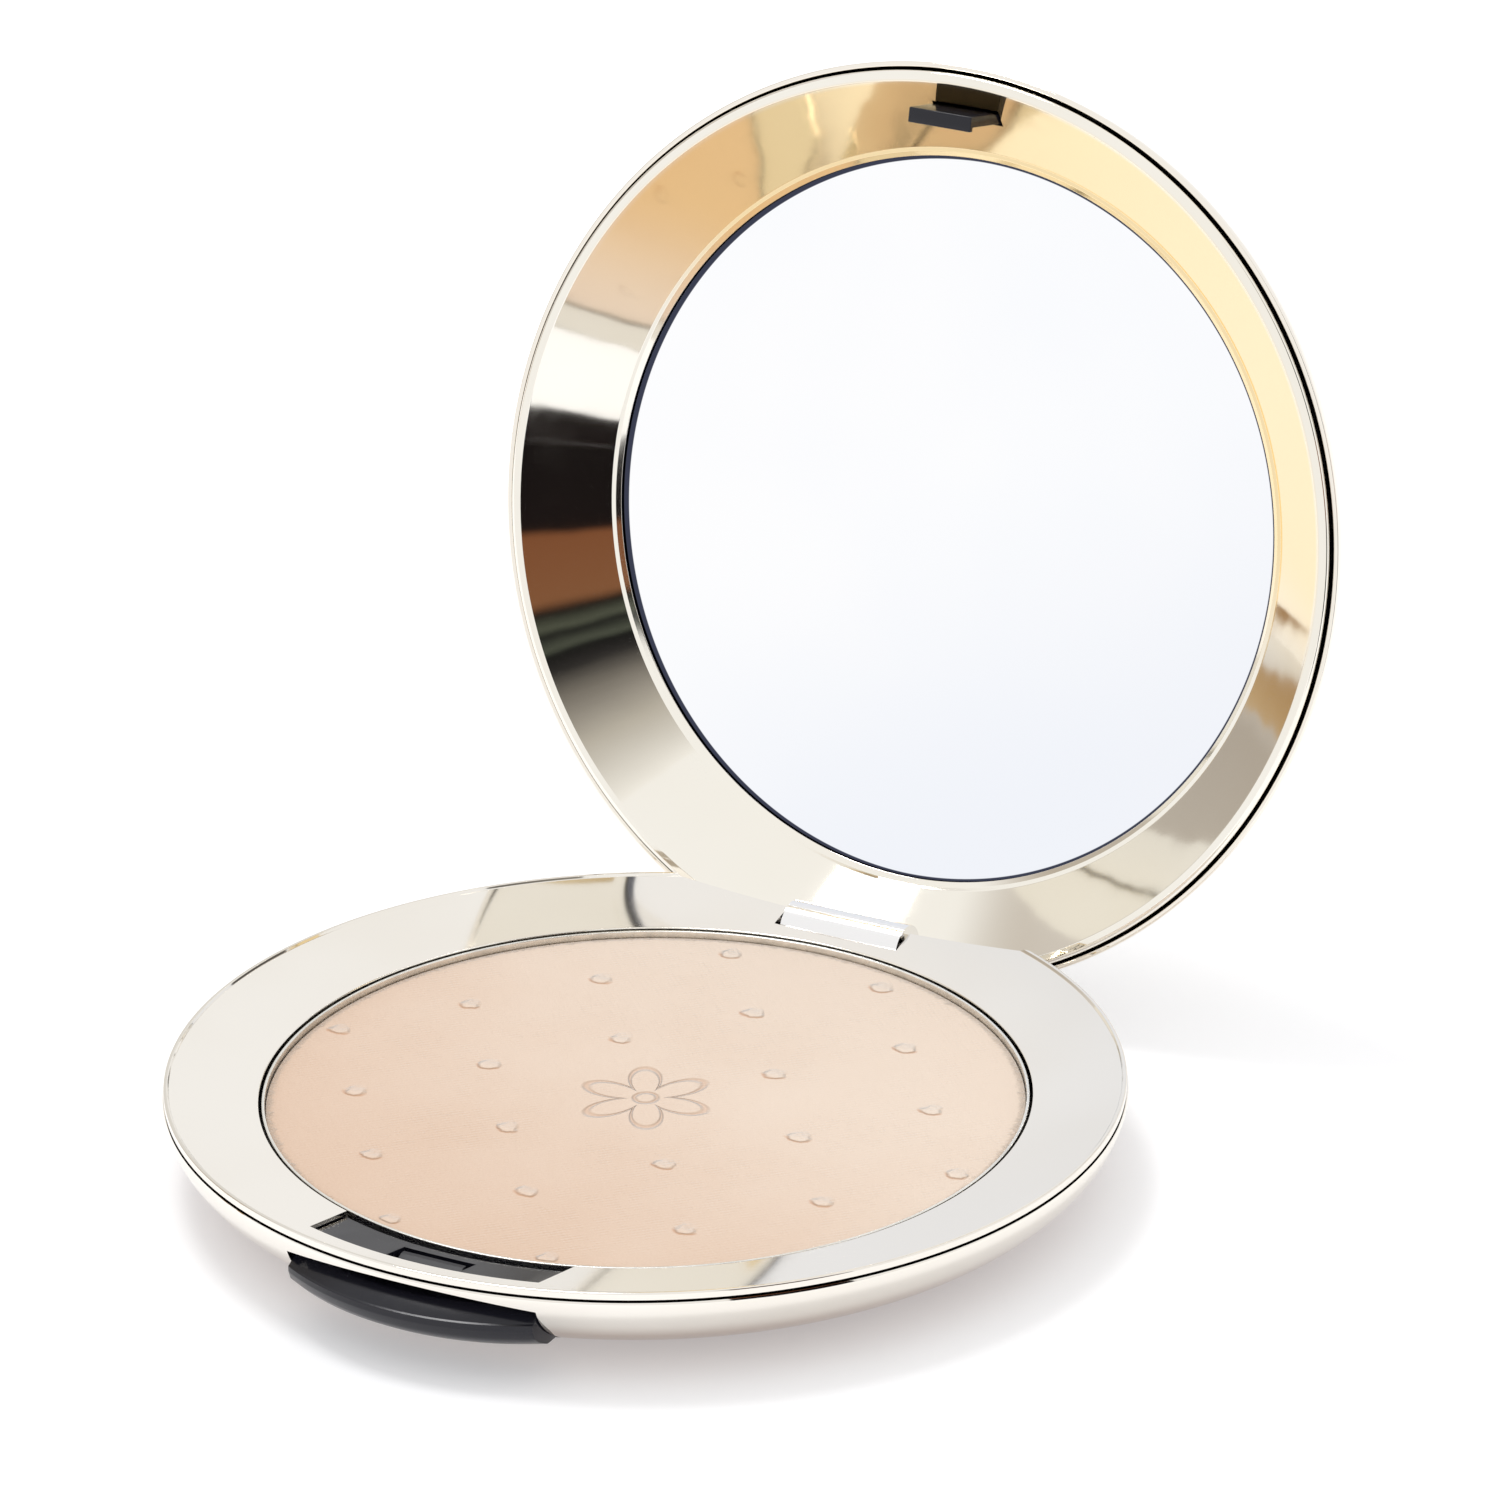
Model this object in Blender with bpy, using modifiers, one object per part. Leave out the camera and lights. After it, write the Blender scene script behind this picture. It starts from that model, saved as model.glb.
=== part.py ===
"""Round powder compact: a mirror lid hinged at the back of a shallow base, latched at the front.

Run with: blender --background --python part.py
Units are metres, +Z is up, the origin is the centre of the foot that the base stands on.
The front, with the push button, faces -Y and the hinge is at +Y. The lid is modelled
closed, in the frame of an empty on the hinge axis, and that empty holds it open.
"""

import math

import bmesh
import bpy
from mathutils import Matrix, Vector

MM = 0.001

# ---- Driving sizes ---------------------------------------------------------
PAN_RADIUS = 31.6 * MM  # outside of the powder pan
PAN_HEIGHT = 3.4 * MM
DECK_WIDTH = 7.9 * MM  # from the pan gap to the outside of the base
DECK_SLOPE = math.radians(12.0)  # the deck is a shallow dish
LID_DEPTH = 13.3 * MM  # the closed lid's crown above the deck's inner edge
FRAME_WIDTH = 8.35 * MM  # from the lid's edge to the mirror
OPEN_ANGLE = math.radians(103.9)  # the lid's opening

# ---- Clearances ------------------------------------------------------------
PAN_GAP = 0.25 * MM  # pan to deck ring
WELL_SETBACK = 0.1 * MM  # the well's wall behind the deck's inner edge
SEAM = 0.2 * MM  # between pieces that rest on each other
RUNNING = 0.3 * MM  # round pieces that move
PIN_PLAY = 0.08 * MM  # radial, pin in its bores

# ---- Walls -----------------------------------------------------------------
BASE_WALL = 0.8 * MM
LID_WALL = 0.45 * MM
RING_WALL = 0.8 * MM
CHASSIS_WALL = 0.8 * MM
LINER_WALL = 0.6 * MM
FRAME_WALL = 0.55 * MM
PAN_WALL = 0.25 * MM

# ---- Base outline ----------------------------------------------------------
BELLY_ROOM = 2.1 * MM  # the chassis's underside above the foot
BELLY_OUT = 4.7 * MM  # from the pan's side out to the curve's lower handle
BELLY_HANDLE = 1.0 * MM  # that handle above the foot
FOOT_INSET = 4.6 * MM  # from the pan's side in to the foot
SIDE_TOP = 0.95 * MM  # the casing's top edge above the deck's inner edge
SIDE_DROP = 2.7 * MM
FOOT_STEP = 0.3 * MM
FOOT_RING = 6.7 * MM  # width of the foot's flat ring round the label
LABEL_RECESS = 0.5 * MM
LABEL_THICKNESS = 0.25 * MM
RIM_CREST = 0.2 * MM  # the deck ring's bead above its slope
RIM_BEAD = 0.45 * MM
RIM_INSET = 0.15 * MM  # the bead's side, in from the casing's side

# ---- Powder ----------------------------------------------------------------
PAN_BELOW_DECK = 0.1 * MM
POWDER_BELOW_RIM = 0.65 * MM
GLUE_RADIUS = 24.0 * MM
GLUE_THICKNESS = 0.2 * MM

# ---- Hinge -----------------------------------------------------------------
HINGE_DROP = 0.77 * MM  # axis below the deck's inner edge
KNUCKLE_RADIUS = 2.2 * MM
KNUCKLE_HALF = 5.6 * MM
KNUCKLE_ROOM = 0.55 * MM  # from the well's wall to the knuckle
EAR_RADIUS = 1.35 * MM
EAR_LENGTH = 5.2 * MM
PIN_RADIUS = 0.6 * MM

# ---- Latch -----------------------------------------------------------------
WINDOW_HALF = 10.5 * MM  # window in the deck's front
WINDOW_DEPTH = 5.4 * MM
PAD_BELOW_DECK = 0.45 * MM
POCKET_HALF = 3.3 * MM
POCKET_INNER = 1.35 * MM  # pocket's inner end from the deck's inner edge
POCKET_LENGTH = 3.0 * MM
HOOK_HALF = 2.95 * MM
HOOK_STEM = 0.95 * MM
HOOK_TOE = 0.35 * MM
HOOK_FOOT = 0.5 * MM  # thickness of its foot behind the frame
HOOK_TIP = 0.95 * MM  # tip below the deck's inner edge when closed
TOE_HEIGHT = 0.5 * MM
LIP_HEIGHT = 0.3 * MM
LIP_OVERLAP = 0.25 * MM
BUTTON_TRAVEL = 0.7 * MM
BUTTON_HALF = 11.2 * MM
BUTTON_PROUD = 1.25 * MM  # the button's ridge outside the casing
BUTTON_ARC = 22.8 * MM  # radius of the ridge, seen from above
BUTTON_SETBACK = 4.45 * MM  # from the deck's inner edge out to the button's back
BUTTON_TOP = 0.5 * MM  # below the deck's inner edge
BUTTON_BOTTOM = 4.1 * MM
SLOT_ARCH = 0.8 * MM
SLOT_DEPTH = 6.0 * MM
SLIDE_TOP = 1.75 * MM
SLIDE_THICKNESS = 1.1 * MM
SLIDE_HALF = 8.2 * MM
SLIDE_STOP = 0.1 * MM  # left between the pressed slide and the pocket's end
SPRING_X = 6.0 * MM
SPRING_RADIUS = 0.6 * MM
SPRING_WIRE = 0.12 * MM
SPRING_NEST = 1.2 * MM  # depth of the slide's notch for the spring
SPRING_TURNS = 5

# ---- Lid -------------------------------------------------------------------
LID_INSET = 0.1 * MM  # the lid's radius is smaller than the base's
LID_EDGE = 2.6 * MM  # the lid's edge above the deck's inner edge when closed
LID_BELLY_WIDTH = 13.65 * MM
LID_SHOULDER = 3.65 * MM
GROOVE = 0.25 * MM  # dark groove between the lid's casing and its frame
FRAME_BAND = 1.0 * MM  # width of the raised band round the frame
FRAME_CREST = 0.6 * MM  # the band above the lid's edge
CROWN_ROOM = 2.2 * MM  # from the liner up to the crown's inside
MIRROR_LIP = 1.0 * MM  # the frame over the mirror's edge
CONE_FOOT = 0.12 * MM  # the cone's outer edge behind the band's crest
CONE_HEAD = 0.75 * MM  # the cone's inner edge outside the sight line
CONE_TOP = 0.62 * MM  # the cone's inner edge in front of the mirror's face
MIRROR_THICKNESS = 1.0 * MM
PAD_THICKNESS = 0.25 * MM
PAD_MARGIN = 2.0 * MM

STEPS = 60  # sides of a round piece

# ---- What follows from them ------------------------------------------------
DECK_RADIUS = PAN_RADIUS + PAN_GAP
CASE_RADIUS = DECK_RADIUS + DECK_WIDTH
FOOT_RADIUS = PAN_RADIUS - FOOT_INSET
LABEL_RADIUS = FOOT_RADIUS - FOOT_RING
WELL_RADIUS = DECK_RADIUS + WELL_SETBACK
WELL_OUTSIDE = WELL_RADIUS + CHASSIS_WALL
WELL_FLOOR = BELLY_ROOM + CHASSIS_WALL
PAN_BOTTOM = WELL_FLOOR + GLUE_THICKNESS + 2 * SEAM
PAN_TOP = PAN_BOTTOM + PAN_HEIGHT
DECK_HEIGHT = PAN_TOP + PAN_BELOW_DECK
HINGE_Y = WELL_OUTSIDE + KNUCKLE_ROOM + KNUCKLE_RADIUS
HINGE_Z = DECK_HEIGHT - HINGE_DROP
LID_RADIUS = CASE_RADIUS - LID_INSET
MIRROR_SIGHT = LID_RADIUS - FRAME_WIDTH
NOTCH_Y = HINGE_Y - KNUCKLE_RADIUS - RUNNING
NOTCH_HALF = KNUCKLE_HALF + RUNNING
NOTCH_Z = HINGE_Z - KNUCKLE_RADIUS - RUNNING
EAR_END = NOTCH_HALF + EAR_LENGTH
BORE_RADIUS = PIN_RADIUS + PIN_PLAY
CREST_Z = DECK_HEIGHT + LID_EDGE - FRAME_CREST
CROWN_Z = DECK_HEIGHT + LID_DEPTH
LINER_CEILING = CROWN_Z - LID_WALL - CROWN_ROOM
LINER_FLOOR = LINER_CEILING - LINER_WALL
MIRROR_BACK = LINER_FLOOR - PAD_THICKNESS - 2 * SEAM
MIRROR_FACE = MIRROR_BACK - MIRROR_THICKNESS
FRAME_OUTSIDE = LID_RADIUS - LID_WALL - GROOVE
BAND_RADIUS = FRAME_OUTSIDE - FRAME_BAND
POCKET_Y = -(DECK_RADIUS + POCKET_INNER)
HOOK_Y = POCKET_Y - POCKET_LENGTH + SEAM  # the stem's outer face
TOE_Y = HOOK_Y + HOOK_STEM + HOOK_TOE
BUTTON_BACK = DECK_RADIUS + BUTTON_SETBACK  # radius of its hollow back
SLIDE_Z = DECK_HEIGHT - SLIDE_TOP
SLIDE_EDGE = POCKET_Y - BUTTON_TRAVEL - SLIDE_STOP


# ---- Helpers ---------------------------------------------------------------
def start_scene():
    """Empty the scene and make the two collections."""
    for thing in list(bpy.data.objects):
        bpy.data.objects.remove(thing, do_unlink=True)
    made = []
    for name in ("powder_compact", "cutters"):
        group = bpy.data.collections.new(name)
        bpy.context.scene.collection.children.link(group)
        made.append(group)
    return made


PARTS, CUTTERS = start_scene()


def add_object(name, mesh, group):
    """A new object for a mesh, in one of the two collections."""
    thing = bpy.data.objects.new(name, mesh)
    group.objects.link(thing)
    if group is CUTTERS:
        thing.hide_render = True
        thing.display_type = "WIRE"
    return thing


def material(name, colour, roughness, metallic):
    """A Principled material."""
    made = bpy.data.materials.new(name)
    made.use_nodes = True
    shader = made.node_tree.nodes["Principled BSDF"]
    shader.inputs["Base Color"].default_value = (*colour, 1.0)
    shader.inputs["Roughness"].default_value = roughness
    shader.inputs["Metallic"].default_value = metallic
    return made


def deck_z(radius):
    """Height of the deck's slope at a radius."""
    return DECK_HEIGHT + (radius - DECK_RADIUS) * math.tan(DECK_SLOPE)


def bezier(ends, steps):
    """Points along a cubic Bezier curve given by its four control points."""
    a, b, c, d = (Vector(point) for point in ends)
    points = []
    for step in range(steps + 1):
        t = step / steps
        s = 1 - t
        points.append(a * s**3 + b * 3 * s * s * t + c * 3 * s * t * t + d * t**3)
    return [(point.x, point.y) for point in points]


def inset_profile(profile, distance):
    """The same (radius, z) profile, moved inwards along its normals."""
    moved = []
    for index, (radius, z) in enumerate(profile):
        before = Vector(profile[max(index - 1, 0)])
        after = Vector(profile[min(index + 1, len(profile) - 1)])
        run = (after - before).normalized()
        moved.append((radius + run.y * distance, z - run.x * distance))
    return moved


def turned(name, profile, group=None, centre=(0.0, 0.0), closed=False):
    """A solid of revolution about a vertical axis, from (radius, z) points.

    The points run down the outer side, top to bottom. A closed profile makes a ring.
    """
    mesh = bpy.data.meshes.new(name)
    count = len(profile)
    edges = [(index, index + 1) for index in range(count - 1)]
    if closed:
        edges.append((count - 1, 0))
    mesh.from_pydata([(radius, 0.0, z) for radius, z in profile], edges, [])
    thing = add_object(name, mesh, group or PARTS)
    thing.location = (centre[0], centre[1], 0.0)
    screw = thing.modifiers.new("turn", "SCREW")
    screw.axis = "Z"
    screw.steps = STEPS
    screw.render_steps = STEPS
    screw.use_merge_vertices = True
    screw.merge_threshold = 0.01 * MM
    return thing


def block(name, low, high, group=None):
    """A box between two corners."""
    low, high = Vector(low), Vector(high)
    mesh = bpy.data.meshes.new(name)
    form = bmesh.new()
    size = Matrix.Diagonal((*(high - low), 1.0))
    bmesh.ops.create_cube(form, size=1.0, matrix=Matrix.Translation((low + high) / 2) @ size)
    form.to_mesh(mesh)
    form.free()
    return add_object(name, mesh, group or PARTS)


def cross_rod(name, radius, ends, y, z, sides, group=None):
    """A cylinder along X between two ends."""
    mesh = bpy.data.meshes.new(name)
    form = bmesh.new()
    place = Matrix.Translation((sum(ends) / 2, y, z)) @ Matrix.Rotation(math.pi / 2, 4, "Y")
    bmesh.ops.create_cone(
        form,
        cap_ends=True,
        segments=sides,
        radius1=radius,
        radius2=radius,
        depth=ends[1] - ends[0],
        matrix=place,
    )
    form.to_mesh(mesh)
    form.free()
    return add_object(name, mesh, group or PARTS)


def plate(name, outline, low, high, group=None, along="Z"):
    """A flat outline, extruded along an axis: (x, y) up Z, (x, z) along Y, (y, z) along X."""
    curve = bpy.data.curves.new(name, "CURVE")
    curve.dimensions = "2D"
    curve.fill_mode = "BOTH"
    curve.extrude = (high - low) / 2
    spline = curve.splines.new("POLY")
    spline.points.add(len(outline) - 1)
    for point, (first, second) in zip(spline.points, outline):
        point.co = (first, second, 0.0, 1.0)
    spline.use_cyclic_u = True
    guide = bpy.data.objects.new(name, curve)
    CUTTERS.objects.link(guide)
    seen = guide.evaluated_get(bpy.context.evaluated_depsgraph_get())
    mesh = bpy.data.meshes.new_from_object(seen)
    bpy.data.objects.remove(guide, do_unlink=True)
    bpy.data.curves.remove(curve)
    form = bmesh.new()
    form.from_mesh(mesh)
    bmesh.ops.remove_doubles(form, verts=form.verts, dist=0.001 * MM)
    turn = {
        "Z": Matrix.Identity(4),
        "Y": Matrix.Rotation(math.pi / 2, 4, "X"),
        "X": Matrix(((0, 0, 1, 0), (1, 0, 0, 0), (0, 1, 0, 0), (0, 0, 0, 1))),
    }[along]
    middle = {"Z": (0, 0, 1), "Y": (0, 1, 0), "X": (1, 0, 0)}[along]
    shift = Matrix.Translation(Vector(middle) * (low + high) / 2)
    bmesh.ops.transform(form, matrix=shift @ turn, verts=form.verts)
    bmesh.ops.recalc_face_normals(form, faces=form.faces)
    form.to_mesh(mesh)
    form.free()
    mesh.name = name
    return add_object(name, mesh, group or PARTS)


def combine(thing, operation, *others):
    """Cut, join or intersect a piece with other shapes."""
    for other in others:
        step = thing.modifiers.new(f"{operation.lower()}_{other.name}", "BOOLEAN")
        step.operation = operation
        step.object = other
        step.solver = "EXACT"
    return thing


def finish(thing, surface):
    """Give a piece its material and smooth its round faces."""
    thing.data.materials.append(surface)
    thing.data.shade_smooth()
    return thing


# ---- Materials -------------------------------------------------------------
GOLD = material("pale_gold_chrome", (0.86, 0.79, 0.66), 0.08, 1.0)
LID_GOLD = material("silvered_gold_chrome", (0.88, 0.84, 0.76), 0.07, 1.0)
BLACK = material("black_gloss_plastic", (0.012, 0.012, 0.014), 0.18, 0.0)
DARK = material("black_satin_plastic", (0.02, 0.02, 0.02), 0.45, 0.0)
ALUMINIUM = material("pan_aluminium", (0.85, 0.84, 0.80), 0.25, 1.0)
PEACH = material("pressed_powder", (0.84, 0.62, 0.47), 0.9, 0.0)
STEEL = material("pin_steel", (0.70, 0.70, 0.71), 0.25, 1.0)
SILVERED = material("silvered_glass", (0.95, 0.96, 0.97), 0.02, 1.0)
TAPE = material("white_tape", (0.80, 0.78, 0.74), 0.7, 0.0)
PAPER = material("label_paper", (0.82, 0.79, 0.72), 0.6, 0.0)


# ---- Shared outlines -------------------------------------------------------
def base_side():
    """The base's outside from its top edge to the edge of its foot."""
    top = DECK_HEIGHT + SIDE_TOP
    return bezier(
        (
            (CASE_RADIUS, top),
            (CASE_RADIUS, top - SIDE_DROP),
            (PAN_RADIUS + BELLY_OUT, BELLY_HANDLE),
            (FOOT_RADIUS, FOOT_STEP),
        ),
        10,
    )


def lid_side():
    """The closed lid's outside from its edge up to the flat of its crown."""
    edge = DECK_HEIGHT + LID_EDGE
    rise = LID_DEPTH - LID_EDGE
    return bezier(
        (
            (LID_RADIUS, edge),
            (LID_RADIUS, edge + 0.28 * rise),
            (LID_RADIUS - LID_SHOULDER, edge + 0.87 * rise),
            (LID_RADIUS - LID_BELLY_WIDTH, edge + 0.96 * rise),
        ),
        9,
    )


def below(profile, ceiling):
    """The part of a rising profile under a height, ending exactly at it."""
    kept = [point for point in profile if point[1] < ceiling - 0.3 * MM]
    start = profile[len(kept) - 1]
    end = profile[len(kept)]
    share = (ceiling - start[1]) / (end[1] - start[1])
    return kept + [(start[0] + share * (end[0] - start[0]), ceiling)]


def cone_z(radius):
    """Height of the frame's cone at a radius, closed."""
    low = CREST_Z + CONE_FOOT
    inner = MIRROR_SIGHT + CONE_HEAD
    high = MIRROR_FACE - CONE_TOP
    return low + (BAND_RADIUS - radius) * (high - low) / (BAND_RADIUS - inner)


# ---- Base ------------------------------------------------------------------
def make_base_shell():
    """Lower casing: a dished shell with a flat back, hinge ears and a button slot."""
    side = base_side()
    outside = side + [
        (FOOT_RADIUS - 0.1 * MM, 0.0),
        (LABEL_RADIUS, 0.0),
        (LABEL_RADIUS, LABEL_RECESS),
        (0.0, LABEL_RECESS),
    ]
    top = DECK_HEIGHT + SIDE_TOP
    above = top + 1 * MM
    floor = LABEL_RECESS + BASE_WALL
    shell = turned("base_shell", [(0.0, top)] + outside)
    inside = [(0.0, above), (CASE_RADIUS - BASE_WALL, above)]
    inside += inset_profile(side, BASE_WALL)[1:-1]
    inside += [(FOOT_RADIUS - 1.0 * MM, floor), (0.0, floor)]
    hollow = turned("base_hollow", inside, CUTTERS)
    back_wall = block(
        "base_back_wall",
        (-CASE_RADIUS, HINGE_Y - BASE_WALL, -1 * MM),
        (CASE_RADIUS, CASE_RADIUS + 1 * MM, above + 1 * MM),
        CUTTERS,
    )
    combine(hollow, "DIFFERENCE", back_wall)
    under = RING_WALL + SEAM
    room = CASE_RADIUS - BASE_WALL - 0.1 * MM
    deck_room = turned(
        "deck_room",
        [
            (0.0, above + 0.4 * MM),
            (room, above + 0.4 * MM),
            (room, deck_z(room) - under),
            (DECK_RADIUS, deck_z(DECK_RADIUS) - under),
            (0.0, deck_z(DECK_RADIUS) - under),
        ],
        CUTTERS,
    )
    combine(shell, "DIFFERENCE", back_flat(), hollow, deck_room)
    for side_name, sign in (("left", -1), ("right", 1)):
        ends = sorted((sign * NOTCH_HALF, sign * EAR_END))
        ear = cross_rod(f"ear_{side_name}", EAR_RADIUS, ends, HINGE_Y, HINGE_Z, 24, CUTTERS)
        combine(shell, "UNION", ear)
    combine(shell, "DIFFERENCE", knuckle_notch(), pin_bore(), button_slot())
    return finish(shell, GOLD)


def back_flat():
    """What the flat back takes off the base."""
    return block(
        "back_flat",
        (-CASE_RADIUS, HINGE_Y, -1 * MM),
        (CASE_RADIUS, CASE_RADIUS + 2 * MM, DECK_HEIGHT + 4 * MM),
        CUTTERS,
    )


def knuckle_notch():
    """Room for the lid's knuckle in the base's back edge."""
    return block(
        "knuckle_notch",
        (-NOTCH_HALF, NOTCH_Y, NOTCH_Z),
        (NOTCH_HALF, CASE_RADIUS + 2 * MM, DECK_HEIGHT + 4 * MM),
        CUTTERS,
    )


def pin_bore():
    """The hinge pin's bore through the ears."""
    reach = EAR_END + 1 * MM
    return cross_rod("pin_bore", BORE_RADIUS, (-reach, reach), HINGE_Y, HINGE_Z, 24, CUTTERS)


def button_slot():
    """Opening for the button, with an arched top edge."""
    half = BUTTON_HALF + SEAM
    top = DECK_HEIGHT - BUTTON_TOP + SEAM
    bottom = DECK_HEIGHT - BUTTON_BOTTOM - SEAM
    arch = []
    for step in range(9):
        share = step / 4 - 1
        arch.append((half * share, top + SLOT_ARCH * (1 - share * share)))
    outline = arch + [(half, bottom), (-half, bottom)]
    return plate(
        "button_slot",
        outline,
        -(CASE_RADIUS + 3 * MM),
        -(CASE_RADIUS - SLOT_DEPTH),
        CUTTERS,
        along="Y",
    )


def make_base_ring():
    """Deck ring: a shallow dish round the pan, with a bead at its edge."""
    outer = CASE_RADIUS - RIM_INSET
    bead = outer - RIM_BEAD
    lip = 0.08 * MM
    under = DECK_HEIGHT + SIDE_TOP + SEAM
    crest = deck_z(bead) + RIM_CREST
    wall_inside = CASE_RADIUS - BASE_WALL
    profile = [
        (outer, crest - 0.12 * MM),
        (outer, under),
        (wall_inside - RUNNING, under),
        (wall_inside - RUNNING, deck_z(wall_inside) - RING_WALL),
        (DECK_RADIUS, deck_z(DECK_RADIUS) - RING_WALL),
        (DECK_RADIUS, DECK_HEIGHT - lip),
        (DECK_RADIUS + lip, deck_z(DECK_RADIUS + lip)),
        (bead, deck_z(bead)),
        (bead + 0.14 * MM, crest),
        (outer - 0.12 * MM, crest),
    ]
    ring = turned("base_ring", profile, closed=True)
    reach = EAR_END + SEAM
    ear_room = cross_rod(
        "ear_room", EAR_RADIUS + SEAM, (-reach, reach), HINGE_Y, HINGE_Z, 24, CUTTERS
    )
    combine(ring, "DIFFERENCE", back_flat(), knuckle_notch(), deck_window(), ear_room)
    return finish(ring, GOLD)


def front_sector(name, half, radius, bottom, top):
    """A disc's front part between two straight sides."""
    disc = turned(name, [(0.0, top), (radius, top), (radius, bottom), (0.0, bottom)], CUTTERS)
    keep = block(
        f"{name}_sides",
        (-half, -CASE_RADIUS, bottom - 1 * MM),
        (half, -DECK_RADIUS / 2, top + 1 * MM),
        CUTTERS,
    )
    return combine(disc, "INTERSECT", keep)


def deck_window():
    """Window in the deck's front, open to the pan."""
    return front_sector(
        "deck_window",
        WINDOW_HALF,
        DECK_RADIUS + WINDOW_DEPTH,
        DECK_HEIGHT - 2 * MM,
        DECK_HEIGHT + 4 * MM,
    )


def make_chassis():
    """Inner body: the pan's well, the flange under the deck and the latch's pad."""
    rim = CASE_RADIUS - BASE_WALL - RUNNING
    inner_rim = rim - 0.4 * MM
    drop = RING_WALL + SEAM
    corner = 0.65 * MM
    floor = WELL_FLOOR - CHASSIS_WALL
    above = DECK_HEIGHT + 4 * MM
    profile = [
        (0.0, WELL_FLOOR),
        (WELL_RADIUS, WELL_FLOOR),
        (WELL_RADIUS, deck_z(WELL_RADIUS) - drop),
        (inner_rim, deck_z(inner_rim) - drop - 0.1 * MM),
        (rim, deck_z(inner_rim) - drop - 0.5 * MM),
        (rim - 0.3 * MM, deck_z(rim) - drop - CHASSIS_WALL),
        (WELL_OUTSIDE, deck_z(WELL_OUTSIDE) - drop - CHASSIS_WALL),
        (WELL_OUTSIDE, floor + corner),
        (WELL_OUTSIDE - 2 * corner, floor),
        (0.0, floor),
    ]
    chassis = turned("base_chassis", profile)
    hinge_room = block(
        "hinge_room",
        (-EAR_END - RUNNING, WELL_OUTSIDE + 0.05 * MM, floor - 1 * MM),
        (EAR_END + RUNNING, CASE_RADIUS, above),
        CUTTERS,
    )
    back_room = block(
        "back_room",
        (-CASE_RADIUS, HINGE_Y - BASE_WALL - SEAM, floor - 1 * MM),
        (CASE_RADIUS, CASE_RADIUS, above),
        CUTTERS,
    )
    room_top = DECK_HEIGHT - SEAM
    button_room = block(
        "button_room",
        (-BUTTON_HALF - RUNNING, -CASE_RADIUS, floor - 1 * MM),
        (BUTTON_HALF + RUNNING, -DECK_RADIUS, room_top),
        CUTTERS,
    )
    kept = BUTTON_BACK - BUTTON_TRAVEL - RUNNING
    combine(button_room, "DIFFERENCE", drum("flange_left", kept, floor - 2 * MM, above))
    pocket = block(
        "hook_pocket",
        (-POCKET_HALF, POCKET_Y - POCKET_LENGTH, DECK_HEIGHT - 3 * MM),
        (POCKET_HALF, POCKET_Y, above),
        CUTTERS,
    )
    combine(chassis, "UNION", latch_pad())
    combine(chassis, "DIFFERENCE", pocket, hinge_room, back_room, button_room)
    return finish(chassis, BLACK)


def latch_pad():
    """The raised pad that fills the deck's window."""
    inner = WELL_RADIUS + 0.15 * MM
    outer = DECK_RADIUS + WINDOW_DEPTH - SEAM
    under = deck_z(inner) - RING_WALL - 0.63 * MM
    profile = [
        (outer, deck_z(outer) - PAD_BELOW_DECK),
        (outer, under),
        (inner, under),
        (inner, deck_z(inner) - PAD_BELOW_DECK),
    ]
    pad = turned("latch_pad", profile, CUTTERS, closed=True)
    keep = block(
        "latch_pad_sides",
        (-WINDOW_HALF + SEAM, -CASE_RADIUS, DECK_HEIGHT - 3 * MM),
        (WINDOW_HALF - SEAM, -DECK_RADIUS / 2, DECK_HEIGHT + 4 * MM),
        CUTTERS,
    )
    return combine(pad, "INTERSECT", keep)


def drum(name, radius, bottom, top):
    """A plain upright cylinder to cut with."""
    profile = [(0.0, top), (radius, top), (radius, bottom), (0.0, bottom)]
    return turned(name, profile, CUTTERS)


def make_pan():
    """Stamped powder pan with a rounded corner."""
    corner = 0.5 * MM
    inner = PAN_RADIUS - PAN_WALL
    profile = [
        (0.0, PAN_BOTTOM + PAN_WALL),
        (inner - corner, PAN_BOTTOM + PAN_WALL),
        (inner, PAN_BOTTOM + PAN_WALL + corner),
        (inner, PAN_TOP),
        (PAN_RADIUS, PAN_TOP),
        (PAN_RADIUS, PAN_BOTTOM + corner + 0.1 * MM),
        (PAN_RADIUS - corner - 0.1 * MM, PAN_BOTTOM),
        (0.0, PAN_BOTTOM),
    ]
    return finish(turned("powder_pan", profile), ALUMINIUM)


def make_powder():
    """Pressed powder in the pan."""
    gap = 0.15 * MM
    radius = PAN_RADIUS - PAN_WALL - gap
    bottom = PAN_BOTTOM + PAN_WALL + gap
    top = PAN_TOP - POWDER_BELOW_RIM
    corner = 0.5 * MM
    profile = [
        (0.0, top),
        (radius - 0.2 * MM, top),
        (radius, top - 0.2 * MM),
        (radius, bottom + corner),
        (radius - corner, bottom),
        (0.0, bottom),
    ]
    return finish(turned("powder_cake", profile), PEACH)


def disc(name, radius, bottom, top, surface):
    """A plain flat disc."""
    profile = [(0.0, top), (radius, top), (radius, bottom), (0.0, bottom)]
    return finish(turned(name, profile), surface)


def make_pan_glue():
    """The pan's adhesive disc."""
    bottom = WELL_FLOOR + SEAM
    return disc("pan_adhesive", GLUE_RADIUS, bottom, bottom + GLUE_THICKNESS, TAPE)


def make_label():
    """Blank label in the foot's recess, flush with the foot."""
    return disc("bottom_label", LABEL_RADIUS - SEAM, 0.0, LABEL_THICKNESS, PAPER)


def make_pin():
    """Hinge pin through the ears and the lid's knuckle."""
    half = EAR_END - 0.3 * MM
    pin = cross_rod("hinge_pin", PIN_RADIUS, (-half, half), HINGE_Y, HINGE_Z, 24)
    return finish(pin, STEEL)


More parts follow.
